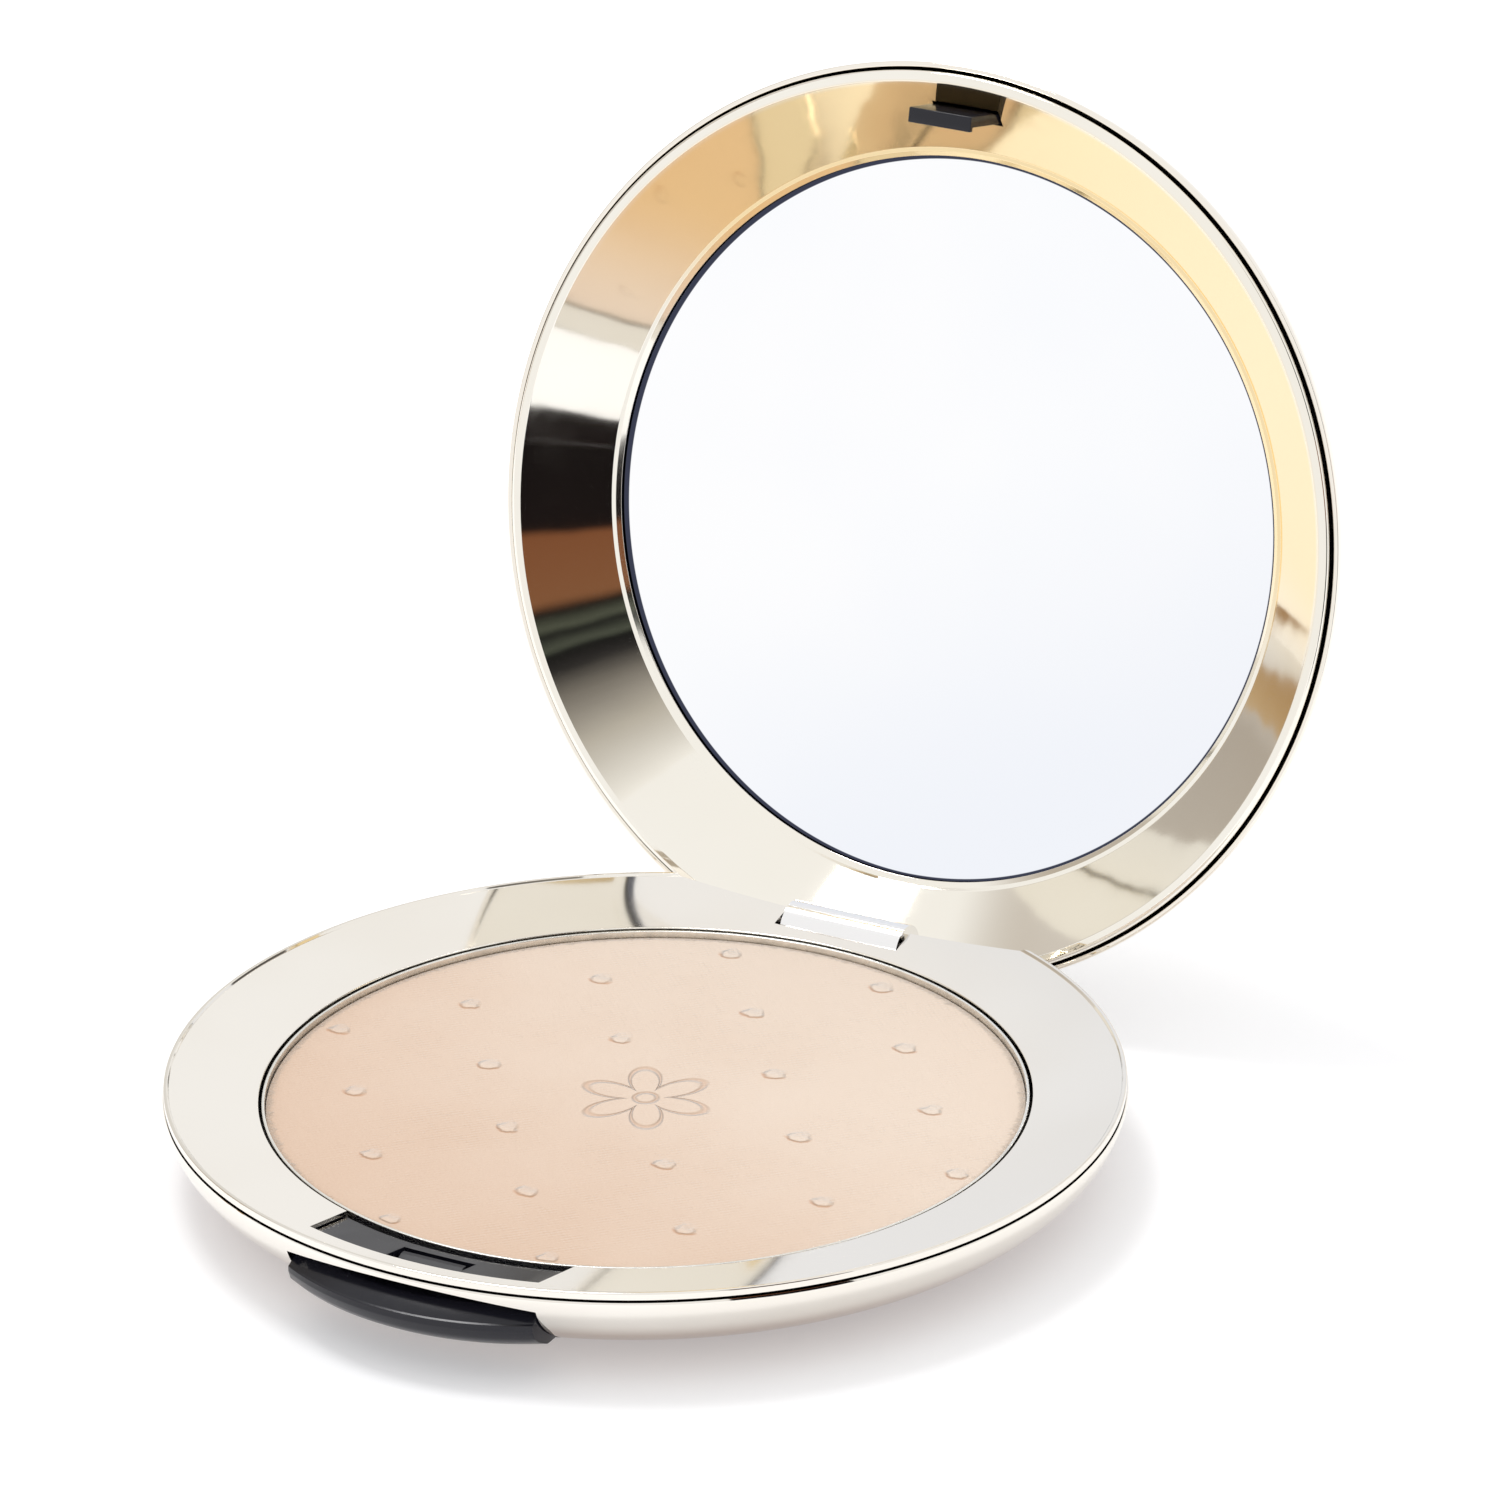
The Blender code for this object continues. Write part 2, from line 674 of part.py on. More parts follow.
# ---- Button and latch ------------------------------------------------------
def make_button():
    """Push button: a crescent with a scooped top, a rounded underside and room for the hook."""
    centre_y = BUTTON_ARC - CASE_RADIUS - BUTTON_PROUD
    ridge = BUTTON_ARC
    top = DECK_HEIGHT - BUTTON_TOP
    bottom = DECK_HEIGHT - BUTTON_BOTTOM
    profile = [
        (0.0, top),
        (ridge - 1.9 * MM, top),
        (ridge - 1.45 * MM, top - 0.1 * MM),
        (ridge - 0.75 * MM, top - 0.5 * MM),
        (ridge - 0.2 * MM, top - 0.85 * MM),
        (ridge, top - 1.05 * MM),
        (ridge, top - 1.5 * MM),
        (ridge - 0.25 * MM, top - 2.2 * MM),
        (ridge - 0.9 * MM, top - 2.9 * MM),
        (ridge - 2.0 * MM, bottom),
        (0.0, bottom),
    ]
    button = turned("push_button", profile, centre=(0.0, centre_y))
    keep = block(
        "button_sides",
        (-BUTTON_HALF, -(CASE_RADIUS + 3 * MM), bottom - 1 * MM),
        (BUTTON_HALF, -DECK_RADIUS, top + 1 * MM),
        CUTTERS,
    )
    hook_relief = block(
        "hook_relief",
        (-POCKET_HALF, POCKET_Y - POCKET_LENGTH - BUTTON_TRAVEL, DECK_HEIGHT - HOOK_TIP - SEAM),
        (POCKET_HALF, -DECK_RADIUS, top + 1 * MM),
        CUTTERS,
    )
    back = drum("button_back", BUTTON_BACK, bottom - 2 * MM, top + 2 * MM)
    combine(button, "INTERSECT", keep)
    combine(button, "DIFFERENCE", back, hook_relief)
    return finish(button, BLACK)


def make_latch_slide():
    """Slide behind the button: a plate with two spring nests and a catch for the hook."""
    nest = SPRING_RADIUS + SPRING_WIRE + RUNNING
    notch = SLIDE_EDGE - SPRING_NEST
    front = BUTTON_BACK - SEAM
    outline = []
    for step in range(9):
        x = SLIDE_HALF * (step / 4 - 1)
        outline.append((x, -math.sqrt(front**2 - x**2)))
    outline += [
        (SLIDE_HALF, SLIDE_EDGE),
        (SPRING_X + nest, SLIDE_EDGE),
        (SPRING_X + nest, notch),
        (SPRING_X - nest, notch),
        (SPRING_X - nest, SLIDE_EDGE),
        (nest - SPRING_X, SLIDE_EDGE),
        (nest - SPRING_X, notch),
        (-SPRING_X - nest, notch),
        (-SPRING_X - nest, SLIDE_EDGE),
        (-SLIDE_HALF, SLIDE_EDGE),
    ]
    slide = plate("latch_slide", outline, SLIDE_Z - SLIDE_THICKNESS, SLIDE_Z)
    reach = HOOK_HALF - 0.1 * MM
    lip_under = DECK_HEIGHT - LIP_HEIGHT
    catch = plate(
        "catch",
        [
            (TOE_Y + LIP_OVERLAP, SLIDE_Z - 0.4 * MM),
            (SLIDE_EDGE - 0.02 * MM, SLIDE_Z - 0.4 * MM),
            (SLIDE_EDGE - 0.02 * MM, DECK_HEIGHT),
            (TOE_Y + LIP_OVERLAP, DECK_HEIGHT),
            (TOE_Y - LIP_OVERLAP, lip_under + 0.08 * MM),
            (TOE_Y - LIP_OVERLAP, lip_under),
            (TOE_Y + LIP_OVERLAP, lip_under),
        ],
        -reach,
        reach,
        CUTTERS,
        along="X",
    )
    combine(slide, "UNION", catch)
    return finish(slide, DARK)


def make_spring(side_name, x):
    """Return spring between the slide and the well's wall, at its pressed length."""
    reach = abs(x) - SPRING_RADIUS - SPRING_WIRE
    start = SLIDE_EDGE - SPRING_NEST + BUTTON_TRAVEL + SLIDE_STOP + SPRING_WIRE
    end = -math.sqrt(WELL_OUTSIDE**2 - reach**2) - SEAM - SPRING_WIRE
    curve = bpy.data.curves.new(f"button_spring_{side_name}", "CURVE")
    curve.dimensions = "3D"
    curve.bevel_depth = SPRING_WIRE
    curve.bevel_resolution = 1
    curve.use_fill_caps = True
    spline = curve.splines.new("POLY")
    per_turn = 10
    total = SPRING_TURNS * per_turn
    spline.points.add(total)
    z = SLIDE_Z - SLIDE_THICKNESS / 2
    for index, point in enumerate(spline.points):
        angle = 2 * math.pi * index / per_turn
        point.co = (
            x + SPRING_RADIUS * math.cos(angle),
            start + (end - start) * index / total,
            z + SPRING_RADIUS * math.sin(angle),
            1.0,
        )
    spring = bpy.data.objects.new(curve.name, curve)
    PARTS.objects.link(spring)
    curve.materials.append(STEEL)
    return spring


# ---- Lid, modelled closed --------------------------------------------------
def make_lid_shell():
    """Lid casing: a thin dome."""
    side = lid_side()
    middle = ((LID_RADIUS - LID_BELLY_WIDTH) / 2, CROWN_Z - 0.1 * MM)
    inside = inset_profile(side, -LID_WALL)
    inside[0] = (LID_RADIUS - LID_WALL, side[0][1])
    profile = [(0.0, CROWN_Z), middle] + side[::-1] + inside
    profile += [(middle[0], middle[1] - LID_WALL), (0.0, CROWN_Z - LID_WALL)]
    return finish(turned("lid_shell", profile), LID_GOLD)


def make_lid_liner():
    """Black inner dish between the lid's casing and its frame."""
    side = lid_side()
    outer = below(inset_profile(side, -(LID_WALL + SEAM))[1:], LINER_CEILING)
    inner = below(inset_profile(side, -(LID_WALL + SEAM + LINER_WALL))[1:], LINER_FLOOR)
    profile = [(0.0, LINER_CEILING)] + outer[::-1] + inner + [(0.0, LINER_FLOOR)]
    return finish(turned("lid_liner", profile), DARK)


def make_lid_frame():
    """Frame round the mirror: raised band, cone and lip, with the hinge knuckle."""
    outer = FRAME_OUTSIDE
    crest = CREST_Z
    sight = MIRROR_SIGHT
    seat = MIRROR_FACE - SEAM
    profile = [
        (outer - 0.5 * MM, crest + 1.15 * MM),
        (outer, crest + 1.1 * MM),
        (outer, crest + 0.7 * MM),
        (outer - 0.18 * MM, crest + 0.25 * MM),
        (outer - 0.45 * MM, crest),
        (BAND_RADIUS + 0.22 * MM, crest),
        (BAND_RADIUS, crest + CONE_FOOT),
        (sight + CONE_HEAD, MIRROR_FACE - CONE_TOP),
        (sight + 0.5 * MM, MIRROR_FACE - CONE_TOP - 0.04 * MM),
        (sight + 0.2 * MM, MIRROR_FACE - 0.52 * MM),
        (sight, seat - 0.1 * MM),
        (sight, seat),
        (sight + MIRROR_LIP, seat),
        (BAND_RADIUS + 0.41 * MM, crest + 0.77 * MM),
    ]
    frame = turned("lid_frame", profile, closed=True)
    half = KNUCKLE_HALF
    knuckle = cross_rod(
        "knuckle", KNUCKLE_RADIUS, (-half, half), HINGE_Y, HINGE_Z, 28, CUTTERS
    )
    arm = plate(
        "knuckle_arm",
        [
            (HINGE_Y + 0.4 * MM, HINGE_Z - KNUCKLE_RADIUS + 0.3 * MM),
            (HINGE_Y + KNUCKLE_RADIUS - 0.2 * MM, HINGE_Z - 0.4 * MM),
            (outer - 0.5 * MM, crest + 0.6 * MM),
            (outer - 0.8 * MM, crest + 0.9 * MM),
            (BAND_RADIUS - 1.0 * MM, crest + 1.4 * MM),
            (HINGE_Y + 0.2 * MM, HINGE_Z + KNUCKLE_RADIUS - 0.2 * MM),
        ],
        0.05 * MM - half,
        half - 0.05 * MM,
        CUTTERS,
        along="X",
    )
    bore = pin_bore()
    stem_inner = HOOK_Y + HOOK_STEM
    hook_slot = block(
        "hook_slot",
        (-HOOK_HALF - SEAM, HOOK_Y - SEAM, cone_z(-HOOK_Y) - 1 * MM),
        (HOOK_HALF + SEAM, stem_inner + SEAM, cone_z(-stem_inner) + 2 * MM),
        CUTTERS,
    )
    combine(frame, "UNION", arm, knuckle)
    combine(frame, "DIFFERENCE", bore, hook_slot)
    for piece in (knuckle, arm, bore, hook_slot):
        hang_on_lid(piece)
    return finish(frame, LID_GOLD)


def make_hook():
    """Latch hook: a stem through the frame, a toe on its tip and a foot behind the frame."""
    tip = DECK_HEIGHT - HOOK_TIP
    stem_inner = HOOK_Y + HOOK_STEM
    foot_edge = stem_inner + 0.7 * MM
    foot = cone_z(-foot_edge) + FRAME_WALL * 1.5 + SEAM
    outline = [
        (HOOK_Y, tip),
        (TOE_Y - 0.12 * MM, tip),
        (TOE_Y, tip + 0.12 * MM),
        (TOE_Y, tip + TOE_HEIGHT),
        (stem_inner, tip + TOE_HEIGHT),
        (stem_inner, foot),
        (foot_edge, foot),
        (foot_edge, foot + HOOK_FOOT),
        (stem_inner, foot + HOOK_FOOT),
        (HOOK_Y, foot),
    ]
    hook = plate("lid_hook", outline, -HOOK_HALF, HOOK_HALF, along="X")
    return finish(hook, BLACK)


def make_mirror():
    """Round mirror held behind the frame's lip."""
    radius = MIRROR_SIGHT + MIRROR_LIP - SEAM
    return disc("mirror", radius, MIRROR_FACE, MIRROR_BACK, SILVERED)


def make_mirror_pad():
    """Adhesive pad behind the mirror."""
    bottom = MIRROR_BACK + SEAM
    radius = MIRROR_SIGHT - PAD_MARGIN
    return disc("mirror_pad", radius, bottom, bottom + PAD_THICKNESS, TAPE)


LID_AXIS = bpy.data.objects.new("lid_axis", None)
PARTS.objects.link(LID_AXIS)
LID_AXIS.location = (0.0, HINGE_Y, HINGE_Z)


def hang_on_lid(piece):
    """Move a piece modelled closed onto the lid's hinge axis."""
    piece.parent = LID_AXIS
    piece.matrix_parent_inverse = Matrix.Translation((0.0, -HINGE_Y, -HINGE_Z))


def build():
    """Make every piece, then open the lid."""
    for make in (
        make_base_shell,
        make_base_ring,
        make_chassis,
        make_pan,
        make_powder,
        make_pan_glue,
        make_label,
        make_pin,
        make_button,
        make_latch_slide,
    ):
        make()
    make_spring("left", -SPRING_X)
    make_spring("right", SPRING_X)
    for make in (
        make_lid_shell,
        make_lid_liner,
        make_lid_frame,
        make_hook,
        make_mirror,
        make_mirror_pad,
    ):
        hang_on_lid(make())
    LID_AXIS.rotation_euler = (-OPEN_ANGLE, 0.0, 0.0)


build()
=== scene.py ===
"""Looks of a round powder compact that stands open: metallised cases, black trim, powder, mirror."""

import math

import bpy
from mathutils import Matrix, Vector


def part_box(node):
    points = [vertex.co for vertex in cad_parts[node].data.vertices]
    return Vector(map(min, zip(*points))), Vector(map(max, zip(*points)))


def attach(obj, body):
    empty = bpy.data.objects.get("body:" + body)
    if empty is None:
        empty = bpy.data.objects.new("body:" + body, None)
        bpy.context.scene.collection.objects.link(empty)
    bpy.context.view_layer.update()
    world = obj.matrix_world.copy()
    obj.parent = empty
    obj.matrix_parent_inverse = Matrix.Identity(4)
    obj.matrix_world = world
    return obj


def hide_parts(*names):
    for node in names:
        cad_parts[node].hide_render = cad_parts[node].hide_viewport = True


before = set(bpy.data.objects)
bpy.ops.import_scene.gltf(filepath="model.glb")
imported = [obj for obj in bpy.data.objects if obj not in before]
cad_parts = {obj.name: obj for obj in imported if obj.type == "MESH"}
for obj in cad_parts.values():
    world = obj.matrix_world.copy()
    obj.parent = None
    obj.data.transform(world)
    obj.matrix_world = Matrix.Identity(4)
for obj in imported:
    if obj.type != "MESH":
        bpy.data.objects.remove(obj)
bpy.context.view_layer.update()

MM = 0.001

# ---- Sizes, in millimetres, as the CAD pieces have them ----------------------
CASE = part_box("base_shell")[1].x / MM  # radius of the base
DECK_Z = 7.0  # the deck's inner edge above the foot
DECK_IN = 31.85
DECK_SLOPE = math.tan(math.radians(12))
BASE_WALL = 0.8
SIDE_TOP = DECK_Z + 0.95
HINGE_Y = 35.5
HINGE_Z = DECK_Z - 0.77
NOTCH_Y = 33.0
NOTCH_HALF = 5.9
NOTCH_Z = HINGE_Z - 2.5
EAR_END = 11.1
PIN_BORE = 0.68
KNUCKLE = 2.2
KNUCKLE_HALF = 5.6
WINDOW_HALF = 10.5
WINDOW_RADIUS = 37.25
WELL_IN = 31.95
WELL_OUT = 32.75
WELL_FLOOR = 2.9
BUTTON_HALF = 11.2
LID = 39.65
LID_EDGE = 9.6
CREST = 9.0  # the lid frame's band, closed
MIRROR_FACE = 15.4  # the mirror's face, closed
CROWN = 20.3
HOOK_TIP = DECK_Z - 0.95
HOOK_HALF = 2.95
HOOK_FRONT = -36.0  # the hook's front face, closed
PAN_IN = 31.35
PAN_OUT = 31.6
POWDER_TOP = 6.38
SIGHT = 31.3  # radius of the mirror's visible part
OPEN = math.radians(103.9)
ROUND = 240  # steps of a turned piece


# ---- Tools of the bench ------------------------------------------------------
def put_down():
    """Nothing is selected."""
    if bpy.context.mode != "OBJECT":
        bpy.ops.object.mode_set(mode="OBJECT")
    bpy.ops.object.select_all(action="DESELECT")


def pick(piece):
    """Only this piece is selected and active."""
    put_down()
    piece.select_set(True)
    bpy.context.view_layer.objects.active = piece


def deck_z(radius):
    """Height of the deck's slope."""
    return DECK_Z + (radius - DECK_IN) * DECK_SLOPE


def bezier(ends, steps):
    """Points of a cubic Bezier curve."""
    a, b, c, d = (Vector(point) for point in ends)
    found = []
    for step in range(steps + 1):
        t = step / steps
        s = 1 - t
        found.append(tuple(a * s**3 + b * 3 * s * s * t + c * 3 * s * t * t + d * t**3))
    return found


def inset(profile, distance):
    """A profile moved inwards along its normals."""
    moved = []
    for index, (radius, z) in enumerate(profile):
        before = Vector(profile[max(index - 1, 0)])
        after = Vector(profile[min(index + 1, len(profile) - 1)])
        run = (after - before).normalized()
        moved.append((radius + run.y * distance, z - run.x * distance))
    return moved


def rounded(corners, closed=False):
    """A profile whose corners with a third number are rounded to that radius."""
    points = []
    count = len(corners)
    for index, corner in enumerate(corners):
        here = Vector(corner[:2])
        inner = closed or 0 < index < count - 1
        if len(corner) < 3 or not inner:
            points.append(tuple(here))
            continue
        before = (Vector(corners[index - 1][:2]) - here).normalized()
        after = (Vector(corners[(index + 1) % count][:2]) - here).normalized()
        half = before.angle(after) / 2
        reach = corner[2] / math.tan(half)
        start = here + before * reach
        end = here + after * reach
        points.append(tuple(start + before * 0.03))
        for step in range(7):
            t = step / 6
            points.append(tuple(start * (1 - t) ** 2 + here * 2 * t * (1 - t) + end * t * t))
        points.append(tuple(end + after * 0.03))
    return points


def turn(name, profile, closed=False, centre=(0.0, 0.0)):
    """Extrude a profile of (radius, z) point by point, then spin it about a vertical axis."""
    put_down()
    first = Vector((profile[0][0], 0, profile[0][1]))
    bpy.ops.mesh.primitive_plane_add(size=MM, location=first * MM)
    piece = bpy.context.object
    piece.name = name
    bpy.ops.object.transform_apply(location=True, rotation=True, scale=True)
    bpy.ops.object.mode_set(mode="EDIT")
    bpy.ops.mesh.select_all(action="SELECT")
    bpy.ops.mesh.merge(type="CENTER")
    path = list(profile[1:]) + ([profile[0]] if closed else [])
    here = first
    for radius, z in path:
        there = Vector((radius, 0, z))
        step = (there - here) * MM
        bpy.ops.mesh.extrude_region_move(TRANSFORM_OT_translate={"value": step})
        here = there
    bpy.ops.mesh.select_all(action="SELECT")
    bpy.ops.mesh.spin(steps=ROUND, angle=2 * math.pi, center=(0, 0, 0), axis=(0, 0, 1))
    bpy.ops.mesh.select_all(action="SELECT")
    bpy.ops.mesh.remove_doubles(threshold=2e-7)
    bpy.ops.mesh.normals_make_consistent(inside=False)
    bpy.ops.object.mode_set(mode="OBJECT")
    piece.location = (centre[0] * MM, centre[1] * MM, 0)
    bpy.ops.object.transform_apply(location=True, rotation=False, scale=False)
    return piece


def drum(radius, low, high):
    """A plain upright cylinder to cut with."""
    return turn("drum", [(0, high), (radius, high), (radius, low), (0, low)])


def block(low, high):
    """A box between two corners."""
    put_down()
    low, high = Vector(low) * MM, Vector(high) * MM
    bpy.ops.mesh.primitive_cube_add(size=1, location=(low + high) / 2, scale=high - low)
    bpy.ops.object.transform_apply(location=True, rotation=True, scale=True)
    return bpy.context.object


def rod(radius, ends, y, z, sides=96):
    """A cylinder along X."""
    put_down()
    bpy.ops.mesh.primitive_cylinder_add(
        vertices=sides,
        radius=radius * MM,
        depth=(ends[1] - ends[0]) * MM,
        location=(sum(ends) / 2 * MM, y * MM, z * MM),
        rotation=(0, math.pi / 2, 0),
    )
    bpy.ops.object.transform_apply(location=True, rotation=True, scale=True)
    return bpy.context.object


def bar(outline, low, high, along="X"):
    """A straight bar: an outline filled and extruded, (y, z) along X or (x, z) along Y."""
    put_down()
    bpy.ops.mesh.primitive_plane_add(size=MM, location=(0, 0, 0))
    piece = bpy.context.object
    bpy.ops.object.mode_set(mode="EDIT")
    bpy.ops.mesh.select_all(action="SELECT")
    bpy.ops.mesh.merge(type="CENTER")

    def at(point):
        if along == "X":
            return Vector((low, point[0], point[1]))
        return Vector((point[0], low, point[1]))

    bpy.ops.transform.translate(value=at(outline[0]) * MM)
    here = at(outline[0])
    for point in outline[1:]:
        there = at(point)
        step = (there - here) * MM
        bpy.ops.mesh.extrude_region_move(TRANSFORM_OT_translate={"value": step})
        here = there
    bpy.ops.mesh.select_all(action="SELECT")
    bpy.ops.mesh.edge_face_add()
    length = (high - low) * MM
    push = (length, 0, 0) if along == "X" else (0, length, 0)
    bpy.ops.mesh.extrude_region_move(TRANSFORM_OT_translate={"value": push})
    bpy.ops.mesh.select_all(action="SELECT")
    bpy.ops.mesh.normals_make_consistent(inside=False)
    bpy.ops.object.mode_set(mode="OBJECT")
    return piece


def shape(piece, operation, *tools):
    """Cut, join or intersect a piece with tools, which are used up."""
    for tool in tools:
        pick(piece)
        step = piece.modifiers.new("shape", "BOOLEAN")
        step.operation = operation
        step.object = tool
        step.solver = "EXACT"
        bpy.ops.object.modifier_apply(modifier=step.name)
        bpy.data.objects.remove(tool, do_unlink=True)
    return piece


def soften(piece, width, segments=3, angle=35):
    """Bevel the sharp edges."""
    pick(piece)
    step = piece.modifiers.new("soften", "BEVEL")
    step.width = width * MM
    step.segments = segments
    step.limit_method = "ANGLE"
    step.angle_limit = math.radians(angle)
    step.use_clamp_overlap = True
    step.harden_normals = False
    bpy.ops.object.modifier_apply(modifier=step.name)
    return piece


HINGE = Vector((0, HINGE_Y, HINGE_Z)) * MM
OPENING = (
    Matrix.Translation(HINGE) @ Matrix.Rotation(-OPEN, 4, "X") @ Matrix.Translation(-HINGE)
)


def open_with_lid(piece):
    """Turn a piece that was made closed to where the open lid holds it."""
    pick(piece)
    piece.matrix_world = OPENING
    bpy.ops.object.transform_apply(location=True, rotation=True, scale=True)
    return piece


def hand_over(piece, name, finish, body, slot, *nodes, angle=30):
    """Name a finished piece, shade it, give it its finish and let it ride on its body."""
    pick(piece)
    piece.name = name
    piece.data.name = name
    bpy.ops.object.shade_smooth_by_angle(angle=math.radians(angle))
    piece.data.materials.clear()
    piece.data.materials.append(finish)
    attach(piece, body)
    if nodes:
        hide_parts(*nodes)
    return piece


# ---- Finishes ----------------------------------------------------------------
class Signal:
    """A socket of a finish that takes part in sums."""

    def __init__(self, finish, socket):
        self.finish = finish
        self.socket = socket

    def maths(self, operation, *others):
        """A Math node on this and other numbers."""
        return self.finish.add("ShaderNodeMath", {"operation": operation}, [self, *others])

    def __add__(self, other):
        return self.maths("ADD", other)

    __radd__ = __add__

    def __sub__(self, other):
        return self.maths("SUBTRACT", other)

    def __rsub__(self, other):
        return (self * -1) + other

    def __mul__(self, other):
        return self.maths("MULTIPLY", other)

    __rmul__ = __mul__

    def __truediv__(self, other):
        return self.maths("DIVIDE", other)

    def __pow__(self, other):
        return self.maths("POWER", other)

    def ease(self, start, end):
        """0 before start, 1 after end, and smooth between them."""
        settings = {"interpolation_type": "SMOOTHSTEP"}
        values = {"Value": self, "From Min": start, "From Max": end}
        return self.finish.add("ShaderNodeMapRange", settings, values)


class Finish:
    """A material's nodes."""

    def __init__(self, name):
        self.material = bpy.data.materials.new(name)
        self.material.use_nodes = True
        self.tree = self.material.node_tree
        self.shader = self.tree.nodes["Principled BSDF"]

    def add(self, kind, settings=None, inputs=(), output=0):
        """One node: its settings first, then its sockets, by name or in order."""
        node = self.tree.nodes.new(kind)
        for key, value in (settings or {}).items():
            if key != "stops":
                setattr(node, key, value)
                continue
            ramp = node.color_ramp.elements
            while len(ramp) < len(value):
                ramp.new(0.5)
            for stop, (position, colour) in zip(ramp, value):
                stop.position = position
                stop.color = colour
        pairs = inputs.items() if isinstance(inputs, dict) else enumerate(inputs)
        for key, value in pairs:
            if isinstance(value, Signal):
                self.tree.links.new(value.socket, node.inputs[key])
            else:
                node.inputs[key].default_value = value
        return Signal(self, node.outputs[output])

    def place(self, **mapping):
        """Object coordinates, moved, turned or scaled."""
        here = self.add("ShaderNodeTexCoord", output="Object")
        if not mapping:
            return here
        names = {"at": "Location", "turned": "Rotation", "scaled": "Scale"}
        values = {names[key]: value for key, value in mapping.items()}
        return self.add("ShaderNodeMapping", {"vector_type": "TEXTURE"}, {"Vector": here, **values})

    def split(self, vector):
        """The three numbers of a vector."""
        node = self.add("ShaderNodeSeparateXYZ", None, [vector]).socket.node
        return [Signal(self, output) for output in node.outputs]

    def noise(self, place, size, detail=3.0, roughness=0.5):
        """Soft noise with features of a size in millimetres, from 0 to 1."""
        values = {
            "Vector": place,
            "Scale": 1000 / size,
            "Detail": detail,
            "Roughness": roughness,
        }
        return self.add("ShaderNodeTexNoise", None, values)

    def mix(self, share, first, second):
        """A colour between two colours."""
        values = {0: share, 6: first, 7: second}
        return self.add("ShaderNodeMix", {"data_type": "RGBA"}, values, output=2)

    def bump(self, height, below=None):
        """A normal from a height in metres."""
        values = {"Height": height, "Strength": 1.0, "Distance": 1.0}
        if below:
            values["Normal"] = below
        return self.add("ShaderNodeBump", None, values)

    def set(self, **values):
        """The shader's own sockets, with spaces written as underscores."""
        for key, value in values.items():
            socket = self.shader.inputs[key.replace("_", " ")]
            if isinstance(value, Signal):
                self.tree.links.new(value.socket, socket)
            else:
                socket.default_value = value
        return self.material


def metallised(name, light, deep, warp, ripple, tone, where=None):
    """Vacuum metallised plastic: mirror bright, faintly wavy, with wipe marks and specks.

    tone gives the colour at a place on the piece, and how streaked the plating is there.
    """
    finish = Finish(name)
    here = finish.place(**(where or {}))
    x, y, z = (number / MM for number in finish.split(here))
    cloud = finish.noise(here, 22, 2.0)
    wipe = finish.noise(finish.place(turned=(0, 0, 0.7), scaled=(1, 9, 1)), 1.1, 3.0)
    smear = finish.noise(here, 6.5, 4.0, 0.6).ease(0.52, 0.78)
    speck = finish.noise(here, 0.35, 1.0).ease(0.80, 0.84)
    colour = finish.mix(cloud.ease(0.35, 0.7), light, deep)
    colour, streaks = tone(finish, colour, x, y, z)
    rough = 0.045 + 0.03 * smear + 0.02 * wipe + 0.15 * speck
    wave = (finish.noise(here, 17, 1.0) - 0.5) * (warp * MM)
    small = (finish.noise(here, 5.5, 1.0) - 0.5) * (ripple * MM)
    grain = (finish.noise(here, 0.5, 2.0) - 0.5) * (0.00008 * MM)
    return finish.set(
        Base_Color=colour,
        Metallic=1.0,
        Roughness=rough + streaks * 0.12,
        Normal=finish.bump(wave + small + grain + streaks * (0.010 * MM)),
    )


def base_tone(finish, colour, x, y, z):
    """Brown low on the side. It stands for a reflection of what is round the base."""
    low = 1 - z.ease(3.0, 5.6)
    return finish.mix(low, colour, (0.54, 0.43, 0.36, 1)), 0


def frame_tone(finish, colour, x, y, z):
    """Gold in the cone's far half, which stands for a reflection, and a silver knuckle."""
    radius = (x * x + y * y) ** 0.5
    cone = 1 - radius.ease(37.6, 38.3)
    far = (0.35 * x - y).ease(0, 16)
    colour = finish.mix(cone * far, colour, (0.905, 0.725, 0.430, 1))
    knuckle = 1 - z.ease(8.3, 8.8)
    colour = finish.mix(knuckle, colour, (0.885, 0.875, 0.870, 1))
    lines = finish.noise(finish.place(scaled=(30, 1, 1)), 0.7, 3.0, 0.6)
    return colour, knuckle * lines


def case_tone(finish, colour, x, y, z):
    """A little warmer at the edge."""
    return finish.mix(1 - z.ease(9.5, 12.5), colour, (0.90, 0.85, 0.77, 1)), 0


def black_plastic(name, gloss, sheen, dust=0.5):
    """Injection moulded black plastic with fine wipe marks and a little dust."""
    finish = Finish(name)
    here = finish.place()
    fine = finish.noise(finish.place(scaled=(6, 1, 1)), 0.5, 3.0)
    smear = finish.noise(here, 4.0, 4.0, 0.6).ease(0.5, 0.8)
    speck = finish.noise(here, 0.28, 1.0).ease(0.80, 0.85)
    colour = finish.mix(speck * dust, (0.009, 0.009, 0.014, 1), (0.12, 0.115, 0.11, 1))
    rough = gloss + 0.10 * smear + 0.05 * fine + 0.3 * speck
    grain = (finish.noise(here, 0.4, 2.0) - 0.5) * (0.0006 * MM)
    return finish.set(
        Base_Color=colour,
        Roughness=rough,
        Normal=finish.bump(grain),
        Specular_IOR_Level=sheen,
    )


